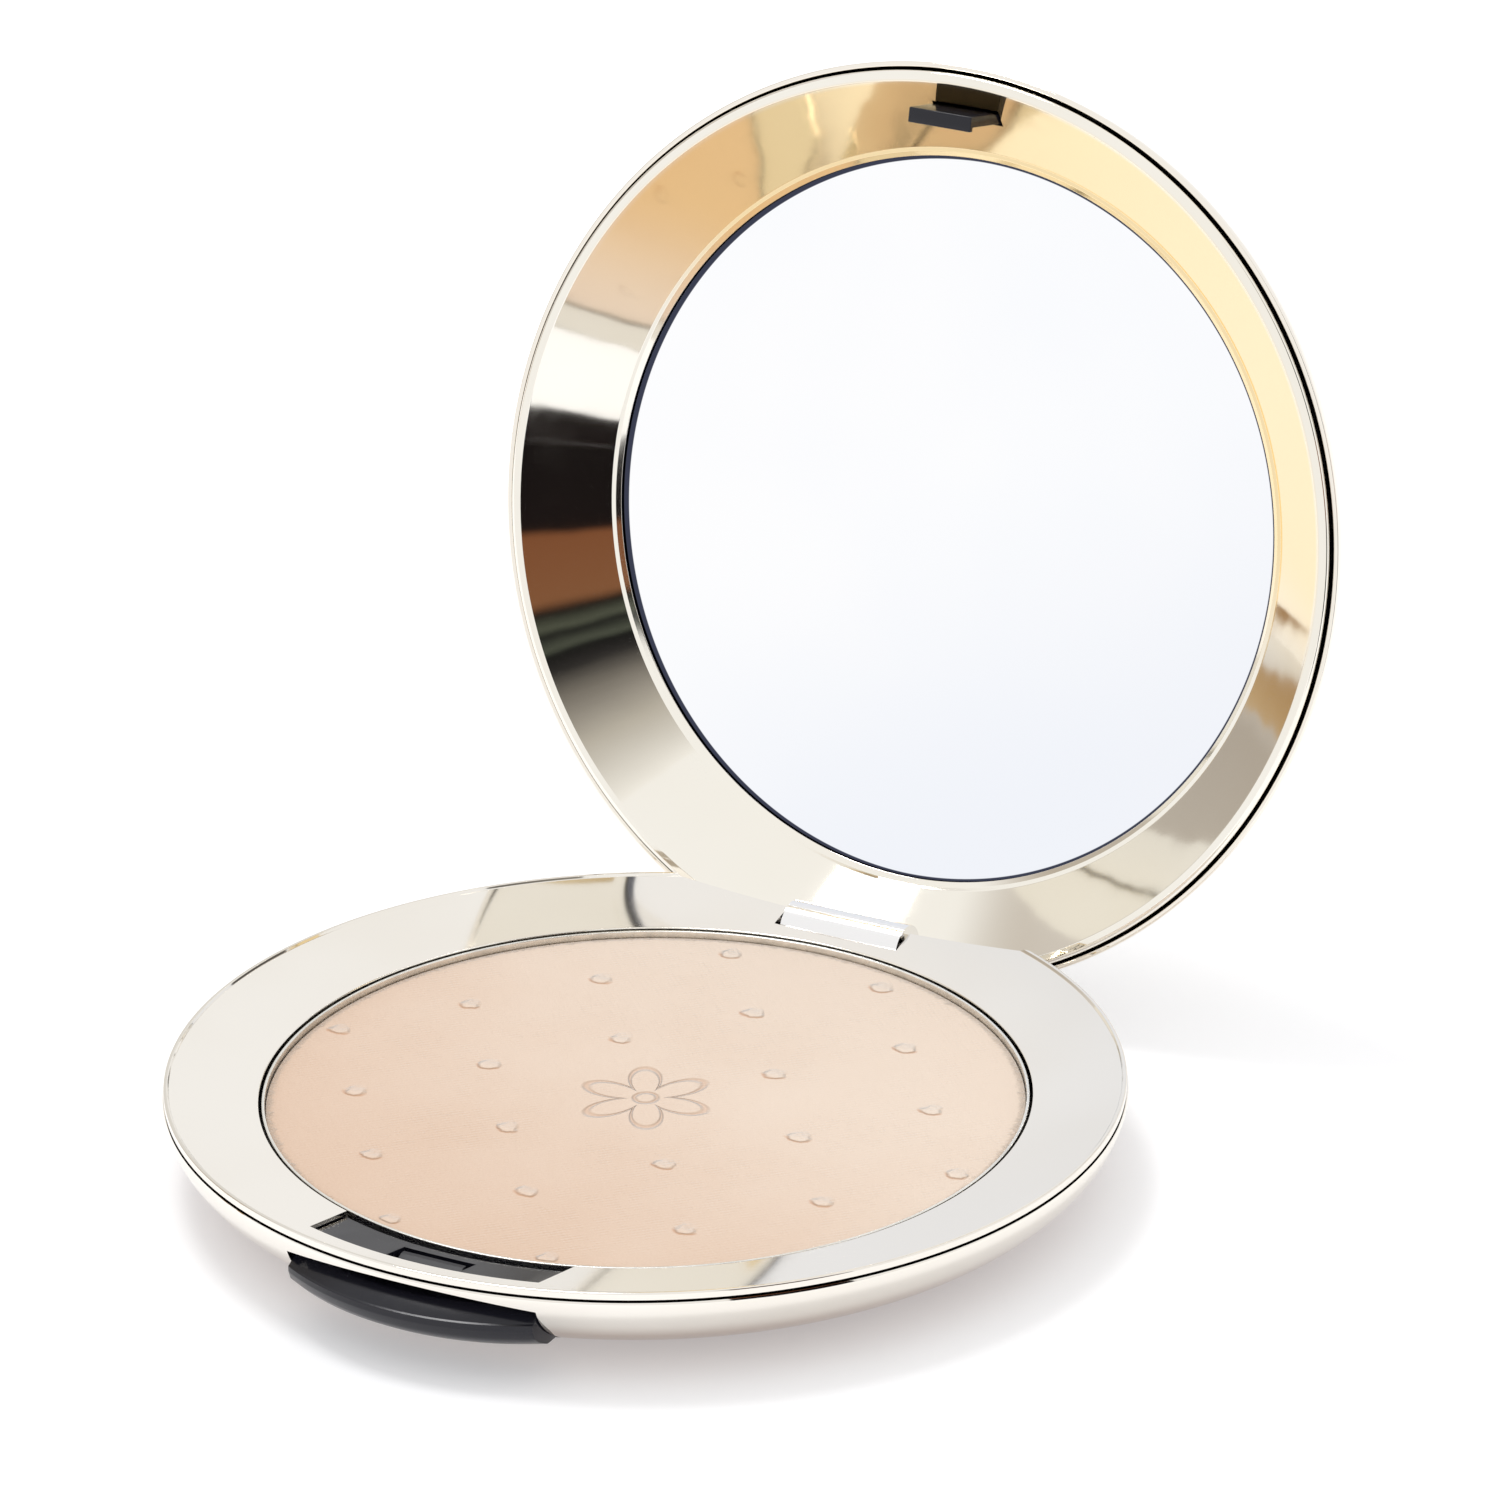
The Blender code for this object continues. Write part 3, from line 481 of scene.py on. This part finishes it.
def pressed_powder():
    """Pressed powder: fine dotted weave, rows of raised drops, a rosette and a crumbled edge, with
    painted shade, shadow and highlights on the relief and a front painted darker.
    """
    finish = Finish("pressed_powder_peach")
    here = finish.place()
    x, y, _ = finish.split(here)
    x = x / MM
    y = y / MM
    radius = (x * x + y * y) ** 0.5
    uneven_x = (finish.noise(here, 1.4, 2.0) - 0.5) * 0.9
    uneven_y = (finish.noise(finish.place(turned=(0, 0, 1.9)), 1.2, 2.0) - 0.5) * 0.7
    half_x, half_y, row_y = 14.6, 9.4, -0.6

    def drops(shift_x, shift_y):
        """Raised drops on a grid, steep below and fading upwards, and a painted shadow along their
        lower edges.
        """
        column = ((x + uneven_x + shift_x) / half_x).maths("FRACT")
        line = ((y + uneven_y - row_y + shift_y) / (2 * half_y)).maths("FRACT")
        u = (column - 0.5) * half_x
        v = (line - 0.5) * (2 * half_y)
        tall = v.maths("MAXIMUM", 0.0) * 0.6 + v.maths("MINIMUM", 0.0) * 1.25
        narrow = u * (1 + v.maths("MAXIMUM", 0.0) * 0.35)
        reach = (narrow * narrow + tall * tall) ** 0.5
        dome = 1 - reach.ease(0.62, 1.12)
        fade = 1 - v.ease(-0.4, 1.3)
        # Painted shadow: a ring just below each drop, on its lower side only.
        painted_drop_shadow = reach.ease(0.7, 0.92) * (1 - reach.ease(1.0, 1.3)) * (1 - v.ease(-0.5, 0.05))
        return dome * fade, painted_drop_shadow

    far = 100 * half_x
    high = 100 * half_y
    first, first_drop_shadow = drops(far + half_x / 2, high + half_y)
    second, second_drop_shadow = drops(far, high)
    away = radius.ease(7.0, 7.3) * (1 - radius.ease(30.0, 30.3))
    raised = (first + second) * away
    painted_drop_shadow = (first_drop_shadow + second_drop_shadow) * away
    angle = y.maths("ARCTAN2", x)
    petal = 1.9 + 3.6 * (angle * 3).maths("COSINE").maths("ABSOLUTE")
    groove = 1 - (radius - petal).maths("ABSOLUTE").ease(0.05, 0.55)
    eye = 1 - (radius - 0.95).maths("ABSOLUTE").ease(0.0, 0.3)
    motif = groove.maths("MAXIMUM", eye) * (1 - radius.ease(6.2, 6.6))
    weave_x = (x * (2 * math.pi / 0.62)).maths("SINE")
    weave_y = (y * (2 * math.pi / 0.62)).maths("SINE")
    patchy = finish.noise(here, 9.0, 2.0).ease(0.3, 0.65)
    dots = (weave_x * weave_y) * patchy * finish.noise(here, 1.1, 2.0).ease(0.38, 0.62)
    fine = finish.noise(here, 0.16, 3.0, 0.7) - 0.5
    lumps = finish.noise(here, 1.3, 3.0, 0.55) - 0.5
    ragged = finish.noise(here, 0.9, 4.0, 0.65)
    edge = (radius + (ragged - 0.5) * 1.6).ease(30.55, 31.0)
    height = 0.30 * raised - 0.20 * motif + 0.022 * dots + 0.026 * fine + 0.018 * lumps
    height = height + edge * ((ragged - 0.6) * 0.5)
    tone = finish.noise(here, 16, 3.0)
    # Painted light: lighter at the back, darker and more orange towards the front and left; the
    # noise adds a random mottle.
    mottle_and_front_shade = (y * -0.016 + x * -0.011 + 0.42 + (tone - 0.5) * 0.6).ease(0.0, 1.0)
    colour = finish.mix(mottle_and_front_shade, (0.735, 0.595, 0.480, 1), (0.620, 0.425, 0.295, 1))
    grain = finish.noise(here, 0.22, 2.0, 0.8).ease(0.3, 0.75)
    colour = finish.mix(grain * 0.2, colour, (0.80, 0.66, 0.54, 1))
    # Darker along the ragged edge, next to the pan's wall.
    colour = finish.mix(edge * 0.5, colour, (0.42, 0.33, 0.25, 1))
    # Painted shade in the rosette's grooves, and the painted shadow below the drops, both in a deep
    # orange brown.
    colour = finish.mix(motif * 0.35 + painted_drop_shadow * 0.65, colour, (0.56, 0.29, 0.15, 1))
    # Painted highlight: the raised drops are tinted lighter.
    colour = finish.mix(raised * 0.2, colour, (0.85, 0.72, 0.60, 1))
    return finish.set(
        Base_Color=colour,
        Roughness=0.70 + 0.15 * grain,
        Normal=finish.bump(height * MM),
        Specular_IOR_Level=0.4,
        Sheen_Weight=0.7,
        Sheen_Roughness=0.45,
    )


def stamped_metal(name, colour, deep, gloss):
    """Drawn thin metal with fine marks along X and a dull patch here and there."""
    finish = Finish(name)
    here = finish.place()
    streak = finish.noise(finish.place(scaled=(14, 1, 1)), 0.4, 3.0)
    patch = finish.noise(here, 3.0, 4.0, 0.6)
    tint = finish.mix(patch.ease(0.4, 0.75), colour, deep)
    return finish.set(
        Base_Color=tint,
        Metallic=1.0,
        Roughness=gloss + 0.14 * streak + 0.08 * patch,
        Normal=finish.bump((streak - 0.5) * (0.0012 * MM)),
    )


def looking_glass():
    """Silvered glass: bright, wiped here and there, with a dark rim painted as the frame lip's shade
    and reflection, wider on the left.

    The faint blue towards one side stands for a reflection.
    """
    finish = Finish("silvered_mirror_glass")
    here = finish.place(**IN_LID)
    wipe = finish.noise(finish.place(turned=(0.2, 0, 0.5), scaled=(5, 1, 1)), 3.0, 4.0, 0.6)
    cloud = finish.noise(here, 30, 2.0)
    x, y, _ = finish.split(here)
    # Painted shade and reflection of the frame's lip: a dark ring just inside it, wider on the left.
    shade = (x * -0.012).maths("MAXIMUM", 0.0)
    rim = (((x * x + y * y) ** 0.5 + shade) / MM).ease(SIGHT - 0.28, SIGHT - 0.20)
    colour = finish.mix(cloud.ease(0.3, 0.7), (0.985, 0.985, 0.995, 1), (0.955, 0.965, 0.990, 1))
    low = ((x * 0.6 + y) / MM).ease(-6.0, 34.0)
    colour = finish.mix(low * 0.8, colour, (0.860, 0.885, 0.945, 1))
    colour = finish.mix(rim, colour, (0.045, 0.050, 0.080, 1))
    return finish.set(
        Base_Color=colour,
        Metallic=1.0,
        Roughness=0.006 + 0.012 * wipe.ease(0.5, 0.9),
    )


def paper(name, colour, fibre):
    """Coated paper or tape with fine fibres."""
    finish = Finish(name)
    here = finish.place()
    strands = finish.noise(finish.place(scaled=(5, 1, 1)), 0.5, 4.0, 0.7)
    tone = finish.noise(here, 5.0, 2.0)
    mixed = finish.mix(strands * 0.4 + tone * 0.3, colour, fibre)
    return finish.set(
        Base_Color=mixed,
        Roughness=0.55 + 0.15 * strands,
        Normal=finish.bump((strands - 0.5) * (0.006 * MM)),
    )


IN_LID = {"at": OPENING.to_translation(), "turned": (-OPEN, 0, 0)}
BASE_GOLD = metallised(
    "base_gold_plating",
    (0.882, 0.846, 0.786, 1),
    (0.856, 0.814, 0.746, 1),
    0.010,
    0.0012,
    base_tone,
)
LID_GOLD = metallised(
    "lid_gold_plating",
    (0.910, 0.875, 0.800, 1),
    (0.890, 0.850, 0.765, 1),
    0.02,
    0.014,
    frame_tone,
    IN_LID,
)
LID_SILVER = metallised(
    "lid_case_plating",
    (0.905, 0.876, 0.820, 1),
    (0.880, 0.845, 0.785, 1),
    0.010,
    0.0012,
    case_tone,
    IN_LID,
)
GLOSS_BLACK = black_plastic("gloss_black_plastic", 0.14, 0.36)
SATIN_BLACK = black_plastic("satin_black_plastic", 0.38, 0.4, 0.3)
POWDER = pressed_powder()
TIN = stamped_metal("pan_tin", (0.86, 0.85, 0.81, 1), (0.74, 0.73, 0.69, 1), 0.16)
STEEL = stamped_metal("drawn_steel", (0.62, 0.62, 0.64, 1), (0.48, 0.48, 0.50, 1), 0.2)
MIRROR = looking_glass()
LABEL = paper("blank_label_paper", (0.80, 0.77, 0.70, 1), (0.68, 0.65, 0.58, 1))
TAPE = paper("mounting_tape", (0.82, 0.81, 0.78, 1), (0.70, 0.69, 0.66, 1))


# ---- Base --------------------------------------------------------------------
def base_side():
    """The casing's outside, from its top edge down to its foot."""
    return bezier(((CASE, SIDE_TOP), (CASE, SIDE_TOP - 2.7), (36.3, 1.0), (27.0, 0.3)), 40)


def back_of_base():
    """What the flat back takes away."""
    return block((-45, HINGE_Y, -2), (45, 60, 14))


def hinge_notch():
    """Room for the knuckle."""
    return block((-NOTCH_HALF, NOTCH_Y, NOTCH_Z), (NOTCH_HALF, 60, 14))


def make_casing():
    """Lower casing with hinge ears, knuckle notch and button slot."""
    side = base_side()
    foot = [(26.9, 0.0, 0.1), (20.3, 0.0, 0.08), (20.3, 0.5), (0.0, 0.5)]
    outline = rounded([(0.0, SIDE_TOP), (CASE - 0.1, SIDE_TOP)] + side[1:] + foot)
    casing = turn("casing", outline)
    inner = inset(side, BASE_WALL)[1:-1]
    hollow = turn(
        "hollow",
        [(0, SIDE_TOP + 1), (CASE - BASE_WALL, SIDE_TOP + 1)] + inner + [(26, 1.3), (0, 1.3)],
    )
    shape(hollow, "DIFFERENCE", block((-45, HINGE_Y - BASE_WALL, -2), (45, 60, 15)))
    shape(casing, "DIFFERENCE", back_of_base(), hollow)
    room = CASE - BASE_WALL - 0.1
    under = 1.0
    deck_room = [
        (0, SIDE_TOP + 2),
        (room, SIDE_TOP + 2),
        (room, deck_z(room) - under),
        (DECK_IN, deck_z(DECK_IN) - under),
        (0, deck_z(DECK_IN) - under),
    ]
    shape(casing, "DIFFERENCE", turn("deck_room", deck_room))
    for side_of in (-1, 1):
        ends = sorted((side_of * NOTCH_HALF, side_of * EAR_END))
        shape(casing, "UNION", rod(1.35, ends, HINGE_Y, HINGE_Z, 48))
    half = BUTTON_HALF + 0.2
    top = DECK_Z - 0.3
    arch = []
    for step in range(25):
        share = step / 12 - 1
        arch.append((half * share, top + 0.8 * (1 - share * share)))
    outline = arch + [(half, DECK_Z - 4.3), (-half, DECK_Z - 4.3)]
    slot = bar(outline, -44, -33.75, along="Y")
    bore = rod(PIN_BORE, (-EAR_END - 1, EAR_END + 1), HINGE_Y, HINGE_Z, 48)
    shape(casing, "DIFFERENCE", hinge_notch(), bore, slot)
    return hand_over(casing, "base_casing", BASE_GOLD, "base", "gold_chrome", "base_shell")


def make_deck():
    """Deck ring: the dished ring round the powder, with its bead."""
    crest = deck_z(39.15) + 0.2
    corners = [
        (39.6, crest, 0.16),
        (39.6, 8.15, 0.04),
        (38.65, 8.15),
        (38.65, 7.72),
        (DECK_IN, 6.2),
        (DECK_IN, DECK_Z, 0.1),
        (39.13, deck_z(39.13), 0.12),
        (39.27, crest, 0.08),
    ]
    deck = turn("deck", rounded(corners, closed=True), closed=True)
    window = drum(WINDOW_RADIUS, 5, 12)
    shape(window, "INTERSECT", block((-WINDOW_HALF, -45, 4), (WINDOW_HALF, -16, 13)))
    ears = rod(1.55, (-EAR_END - 0.2, EAR_END + 0.2), HINGE_Y, HINGE_Z, 48)
    shape(deck, "DIFFERENCE", back_of_base(), hinge_notch(), window, ears)
    return hand_over(deck, "deck_ring", BASE_GOLD, "base", "gold_chrome", "base_ring")


def make_chassis():
    """Black inner body with the pan's well and the latch's pad."""
    rim = CASE - BASE_WALL - 0.3
    profile = [
        (0, WELL_FLOOR),
        (WELL_IN, WELL_FLOOR),
        (WELL_IN, deck_z(WELL_IN) - 1.0),
        (rim - 0.4, deck_z(rim - 0.4) - 1.1),
        (rim, deck_z(rim - 0.4) - 1.5),
        (rim - 0.3, deck_z(rim) - 1.8),
        (WELL_OUT, deck_z(WELL_OUT) - 1.8),
        (WELL_OUT, 2.75),
        (31.45, 2.1),
        (0, 2.1),
    ]
    chassis = turn("chassis", profile)
    inner, outer = WELL_IN + 0.15, WINDOW_RADIUS - 0.2
    pad = turn(
        "pad",
        [
            (outer, deck_z(outer) - 0.45),
            (outer, 5.6),
            (inner, 5.6),
            (inner, deck_z(inner) - 0.45),
        ],
        closed=True,
    )
    half = WINDOW_HALF - 0.2
    shape(pad, "INTERSECT", block((-half, -45, 4), (half, -16, 13)))
    shape(chassis, "UNION", pad)
    reach = BUTTON_HALF + 0.3
    front = block((-reach, -45, 1), (reach, -DECK_IN, DECK_Z - 0.2))
    shape(front, "DIFFERENCE", drum(35.3, 0, 14))
    hinge = block((-EAR_END - 0.3, WELL_OUT + 0.05, 1), (EAR_END + 0.3, 60, 14))
    back = block((-45, HINGE_Y - BASE_WALL - 0.2, 1), (45, 60, 14))
    reach = HOOK_HALF + 0.35
    pocket = block((-reach, HOOK_FRONT - 0.2, 4), (reach, -33.2, 14))
    shape(chassis, "DIFFERENCE", front, hinge, back, pocket)
    soften(chassis, 0.07, 2)
    return hand_over(chassis, "inner_body", GLOSS_BLACK, "base", "black_gloss", "base_chassis")


def make_pan():
    """Powder pan with a rounded foot and a rolled rim."""
    rim = 6.9
    corners = [
        (0, 3.75),
        (PAN_IN, 3.75, 0.4),
        (PAN_IN, rim, 0.08),
        (PAN_OUT, rim, 0.08),
        (PAN_OUT, 3.5, 0.5),
        (0, 3.5),
    ]
    pan = turn("pan", rounded(corners))
    return hand_over(pan, "pan", TIN, "base", "pan_aluminium", "powder_pan")


def make_powder():
    """Pressed powder, its edge slightly sunk and worn."""
    side = PAN_IN - 0.07
    corners = [
        (0, POWDER_TOP),
        (24, POWDER_TOP),
        (30.4, POWDER_TOP),
        (side, POWDER_TOP - 0.05, 0.14),
        (side, 3.95, 0.5),
        (0, 3.95),
    ]
    cake = turn("cake", rounded(corners))
    return hand_over(cake, "powder", POWDER, "base", "pressed_powder", "powder_cake")


def make_button():
    """Push button: scooped top, bright ridge and rounded belly."""
    top = DECK_Z - 0.5
    ridge = 22.8
    corners = [
        (0, top),
        (ridge - 1.75, top, 0.5),
        (ridge - 0.9, top - 0.42),
        (ridge - 0.2, top - 0.9, 0.15),
        (ridge, top - 1.0, 0.06),
        (ridge, top - 1.5, 0.4),
        (ridge - 0.25, top - 2.2),
        (ridge - 0.9, top - 2.9),
        (ridge - 2.0, top - 3.6, 0.4),
        (0, top - 3.6),
    ]
    button = turn("button", rounded(corners), centre=(0.0, ridge - CASE - 1.25))
    keep = block((-BUTTON_HALF, -45, 1), (BUTTON_HALF, -DECK_IN, 9))
    shape(button, "INTERSECT", keep)
    reach = HOOK_HALF + 0.35
    relief = block((-reach, HOOK_FRONT - 0.9, HOOK_TIP - 0.2), (reach, -30, 9))
    shape(button, "DIFFERENCE", drum(36.3, 0, 10), relief)
    soften(button, 0.12, 3)
    return hand_over(button, "button", GLOSS_BLACK, "button", "black_gloss", "push_button")


# ---- Lid, made closed and then opened ------------------------------------------
def lid_side():
    """The lid's outside, from its edge up."""
    rise = CROWN - LID_EDGE
    ends = (
        (LID, LID_EDGE),
        (LID, LID_EDGE + 0.28 * rise),
        (LID - 3.65, LID_EDGE + 0.87 * rise),
        (LID - 13.65, LID_EDGE + 0.96 * rise),
    )
    return bezier(ends, 36)


def make_lid_case():
    """Thin domed lid casing with a rounded edge."""
    side = lid_side()
    wall = 0.45
    crown = bezier((side[-1], (20.0, CROWN - 0.13), (9.0, CROWN), (0.0, CROWN)), 14)
    outer = side + crown[1:]
    inner = inset(outer, -wall)[2:-1] + [(0.0, CROWN - wall)]
    edge = [(LID, LID_EDGE, 0.16), (LID - wall, LID_EDGE, 0.12)]
    corners = list(reversed(outer[1:])) + edge + inner
    case = turn("lid_case", rounded(corners))
    open_with_lid(case)
    return hand_over(case, "lid_case", LID_SILVER, "lid", "lid_gold_chrome", "lid_shell")


def make_frame():
    """Mirror frame: rounded band, polished cone and small lip, with the hinge knuckle."""
    corners = [
        (38.45, CREST + 1.15),
        (38.95, CREST + 1.1),
        (38.95, CREST, 0.4),
        (38.02, CREST, 0.14),
        (SIGHT + 0.75, MIRROR_FACE - 0.62, 0.1),
        (SIGHT + 0.42, MIRROR_FACE - 0.62, 0.1),
        (SIGHT, MIRROR_FACE - 0.3, 0.08),
        (SIGHT, MIRROR_FACE - 0.2),
        (SIGHT + 1.0, MIRROR_FACE - 0.2),
        (38.36, CREST + 0.77),
    ]
    mirror_frame = turn("frame", rounded(corners, closed=True), closed=True)
    half = KNUCKLE_HALF
    arm = bar(
        [
            (HINGE_Y + 0.4, HINGE_Z - 1.9),
            (HINGE_Y + 2.0, HINGE_Z - 0.4),
            (38.45, CREST + 0.6),
            (38.15, CREST + 0.9),
            (36.95, CREST + 1.4),
            (HINGE_Y + 0.2, HINGE_Z + 2.0),
        ],
        0.05 - half,
        half - 0.05,
    )
    knuckle = rod(KNUCKLE, (-half, half), HINGE_Y, HINGE_Z)
    shape(mirror_frame, "UNION", arm, knuckle)
    bore = rod(PIN_BORE, (-half - 1, half + 1), HINGE_Y, HINGE_Z, 48)
    reach = HOOK_HALF + 0.2
    slot = block((-reach, HOOK_FRONT - 0.2, 9.5), (reach, -34.85, 14.2))
    shape(mirror_frame, "DIFFERENCE", bore, slot)
    open_with_lid(mirror_frame)
    return hand_over(mirror_frame, "mirror_frame", LID_GOLD, "lid", "lid_gold_chrome", "lid_frame")


def make_hook():
    """Latch hook through the frame."""
    hook = bar(
        [
            (HOOK_FRONT, HOOK_TIP),
            (-34.7, HOOK_TIP),
            (-34.7, HOOK_TIP + 0.5),
            (-35.05, HOOK_TIP + 0.5),
            (-35.05, 13.4),
            (-34.35, 13.4),
            (-34.35, 13.9),
            (-35.05, 13.9),
            (HOOK_FRONT, 13.4),
        ],
        -HOOK_HALF,
        HOOK_HALF,
    )
    soften(hook, 0.09, 3)
    open_with_lid(hook)
    return hand_over(hook, "hook", GLOSS_BLACK, "lid", "black_gloss", "lid_hook")


def make_mirror():
    """Mirror glass with ground edges."""
    corners = [
        (0, MIRROR_FACE + 1.0),
        (32.1, MIRROR_FACE + 1.0, 0.12),
        (32.1, MIRROR_FACE, 0.12),
        (0, MIRROR_FACE),
    ]
    glass = turn("glass", rounded(corners))
    open_with_lid(glass)
    return hand_over(glass, "mirror_glass", MIRROR, "lid", "mirror_glass", "mirror")


def paint_kept_nodes():
    """Finishes of the CAD pieces that stay."""
    finishes = {
        "pan_adhesive": TAPE,
        "bottom_label": LABEL,
        "hinge_pin": STEEL,
        "button_spring_left": STEEL,
        "button_spring_right": STEEL,
        "latch_slide": SATIN_BLACK,
        "lid_liner": SATIN_BLACK,
        "mirror_pad": TAPE,
    }
    for name, finish in finishes.items():
        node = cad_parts[name]
        node.data.materials.clear()
        node.data.materials.append(finish)


# ---- Studio --------------------------------------------------------------------
CAMERA_AT = (0.31851, -0.55688, 0.32028)
CAMERA_ANGLES = (28.974, 23.784, -0.607)  # azimuth, elevation and roll in degrees
CAMERA_LENS = 208.03
FLAG_TURN = 1.03  # the dark flag and the dark table lie along one line
AMBER_TURN = -1.2
WALL_TURN = math.radians(70)


def make_floor():
    """A wide pale floor."""
    put_down()
    bpy.ops.mesh.primitive_circle_add(vertices=96, radius=4.0, fill_type="NGON")
    floor = bpy.context.object
    floor.name = "floor"
    paint = Finish("floor_white")
    tone = paint.noise(paint.place(), 120, 2.0)
    colour = paint.mix(tone, (0.715, 0.715, 0.72, 1), (0.73, 0.73, 0.735, 1))
    paint.set(
        Base_Color=colour,
        Roughness=0.9,
        Emission_Color=(0.29, 0.29, 0.297, 1),
        Emission_Strength=1.0,
    )
    floor.data.materials.append(paint.material)


def soft_light(name, at, size, power):
    """A square soft box that looks at the middle of the foot."""
    lamp = bpy.data.lights.new(name, "AREA")
    lamp.size = size
    lamp.energy = power
    holder = bpy.data.objects.new(name, lamp)
    bpy.context.scene.collection.objects.link(holder)
    holder.location = at
    holder.rotation_euler = Vector(at).to_track_quat("Z", "Y").to_euler()
    holder.visible_camera = False


def card(name, at, size, turned, tone, lying=False):
    """A flag beside the set that only reflections see."""
    put_down()
    pose = (0, 0, turned) if lying else (math.pi / 2, 0, turned)
    bpy.ops.mesh.primitive_plane_add(size=1, location=at, rotation=pose)
    flag = bpy.context.object
    flag.name = name
    flag.scale = (size[0], size[1], 1)
    bpy.ops.object.transform_apply(location=True, rotation=True, scale=True)
    paint = Finish(name)
    x, y, z = paint.split(paint.place())
    across = x * math.cos(turned) + y * math.sin(turned)
    middle = at[0] * math.cos(turned) + at[1] * math.sin(turned)
    paint.set(
        Base_Color=(0, 0, 0, 1),
        Roughness=1.0,
        Emission_Color=tone(paint, (across - middle) / size[0] + 0.5, z / size[1]),
        Emission_Strength=1.0,
        Specular_IOR_Level=0.0,
    )
    flag.data.materials.append(paint.material)
    flag.visible_camera = False
    flag.visible_diffuse = False
    flag.visible_shadow = False
    flag.visible_transmission = False


def dark_room(paint, across, up):
    """Dark below, a brown shelf, thin bright lines and a slow rise to white."""
    stops = [
        (0.0, (0.010, 0.008, 0.008, 1)),
        (0.145, (0.012, 0.009, 0.009, 1)),
        (0.16, (0.22, 0.085, 0.038, 1)),
        (0.28, (0.24, 0.105, 0.050, 1)),
        (0.30, (0.010, 0.010, 0.010, 1)),
        (0.33, (0.09, 0.10, 0.075, 1)),
        (0.345, (0.012, 0.012, 0.012, 1)),
        (0.375, (0.08, 0.09, 0.07, 1)),
        (0.39, (0.010, 0.010, 0.010, 1)),
        (0.43, (0.03, 0.028, 0.028, 1)),
        (0.50, (0.20, 0.185, 0.165, 1)),
        (0.66, (0.52, 0.49, 0.44, 1)),
        (1.0, (0.98, 0.97, 0.95, 1)),
    ]
    return paint.add("ShaderNodeValToRGB", {"stops": stops}, [up])


def table_edge(paint, across, up):
    """Nearly black."""
    return paint.mix(across, (0.010, 0.008, 0.008, 1), (0.014, 0.010, 0.010, 1))


def amber(paint, across, up):
    """Golden brown, lighter upwards."""
    return paint.mix(up, (0.34, 0.19, 0.07, 1), (0.70, 0.50, 0.27, 1))


def grey_wall(paint, across, up):
    """Soft grey that fades to white at one side and upwards."""
    stops = [
        (0.0, (1.0, 1.0, 1.0, 1)),
        (0.12, (0.97, 0.96, 0.94, 1)),
        (0.20, (0.50, 0.44, 0.37, 1)),
        (0.34, (0.56, 0.51, 0.45, 1)),
        (0.42, (0.68, 0.64, 0.60, 1)),
        (0.62, (0.82, 0.80, 0.77, 1)),
        (0.80, (0.78, 0.77, 0.74, 1)),
        (0.86, (0.85, 0.84, 0.82, 1)),
        (0.93, (0.99, 0.985, 0.98, 1)),
        (1.0, (1.0, 1.0, 1.0, 1)),
    ]
    level = paint.add("ShaderNodeValToRGB", {"stops": stops}, [across])
    return paint.mix(up.ease(0.55, 0.98), level, (1.0, 1.0, 1.0, 1))


def make_studio():
    """Pale surroundings, soft boxes and the camera."""
    scene = bpy.context.scene
    world = bpy.data.worlds.new("white_room")
    scene.world = world
    world.use_nodes = True
    air = world.node_tree.nodes["Background"]
    air.inputs["Color"].default_value = (1.0, 1.0, 1.0, 1)
    air.inputs["Strength"].default_value = 1.0
    soft_light("key", (-0.32, 0.12, 0.95), 0.28, 2.9)
    card("dark_flag", (0.394, -0.220, 0.45), (0.22, 0.9), FLAG_TURN, dark_room)
    card("dark_table", (0.27, -0.14, 0.0012), (0.09, 0.26), FLAG_TURN, table_edge, lying=True)
    card("amber_flag_low", (-0.50, -0.17, 0.03), (0.022, 0.06), AMBER_TURN, amber)
    card("amber_flag_high", (-0.50, -0.115, 0.045), (0.030, 0.09), AMBER_TURN, amber)
    card("grey_wall", (-0.846, 0.308, 0.65), (1.9, 1.3), WALL_TURN, grey_wall)
    scene.view_settings.view_transform = "Standard"
    scene.view_settings.look = "None"
    camera = bpy.data.cameras.new("camera")
    camera.lens = CAMERA_LENS
    camera.sensor_width = 36
    camera.clip_start = 0.01
    camera.clip_end = 20
    holder = bpy.data.objects.new("camera", camera)
    scene.collection.objects.link(holder)
    azimuth, elevation, roll = (math.radians(angle) for angle in CAMERA_ANGLES)
    look = Matrix.Rotation(azimuth, 4, "Z") @ Matrix.Rotation(math.pi / 2 - elevation, 4, "X")
    look = look @ Matrix.Rotation(roll, 4, "Z")
    holder.matrix_world = Matrix.Translation(CAMERA_AT) @ look
    scene.camera = holder


make_casing()
make_deck()
make_chassis()
make_pan()
make_powder()
make_button()
make_lid_case()
make_frame()
make_hook()
make_mirror()
paint_kept_nodes()
make_floor()
make_studio()
put_down()
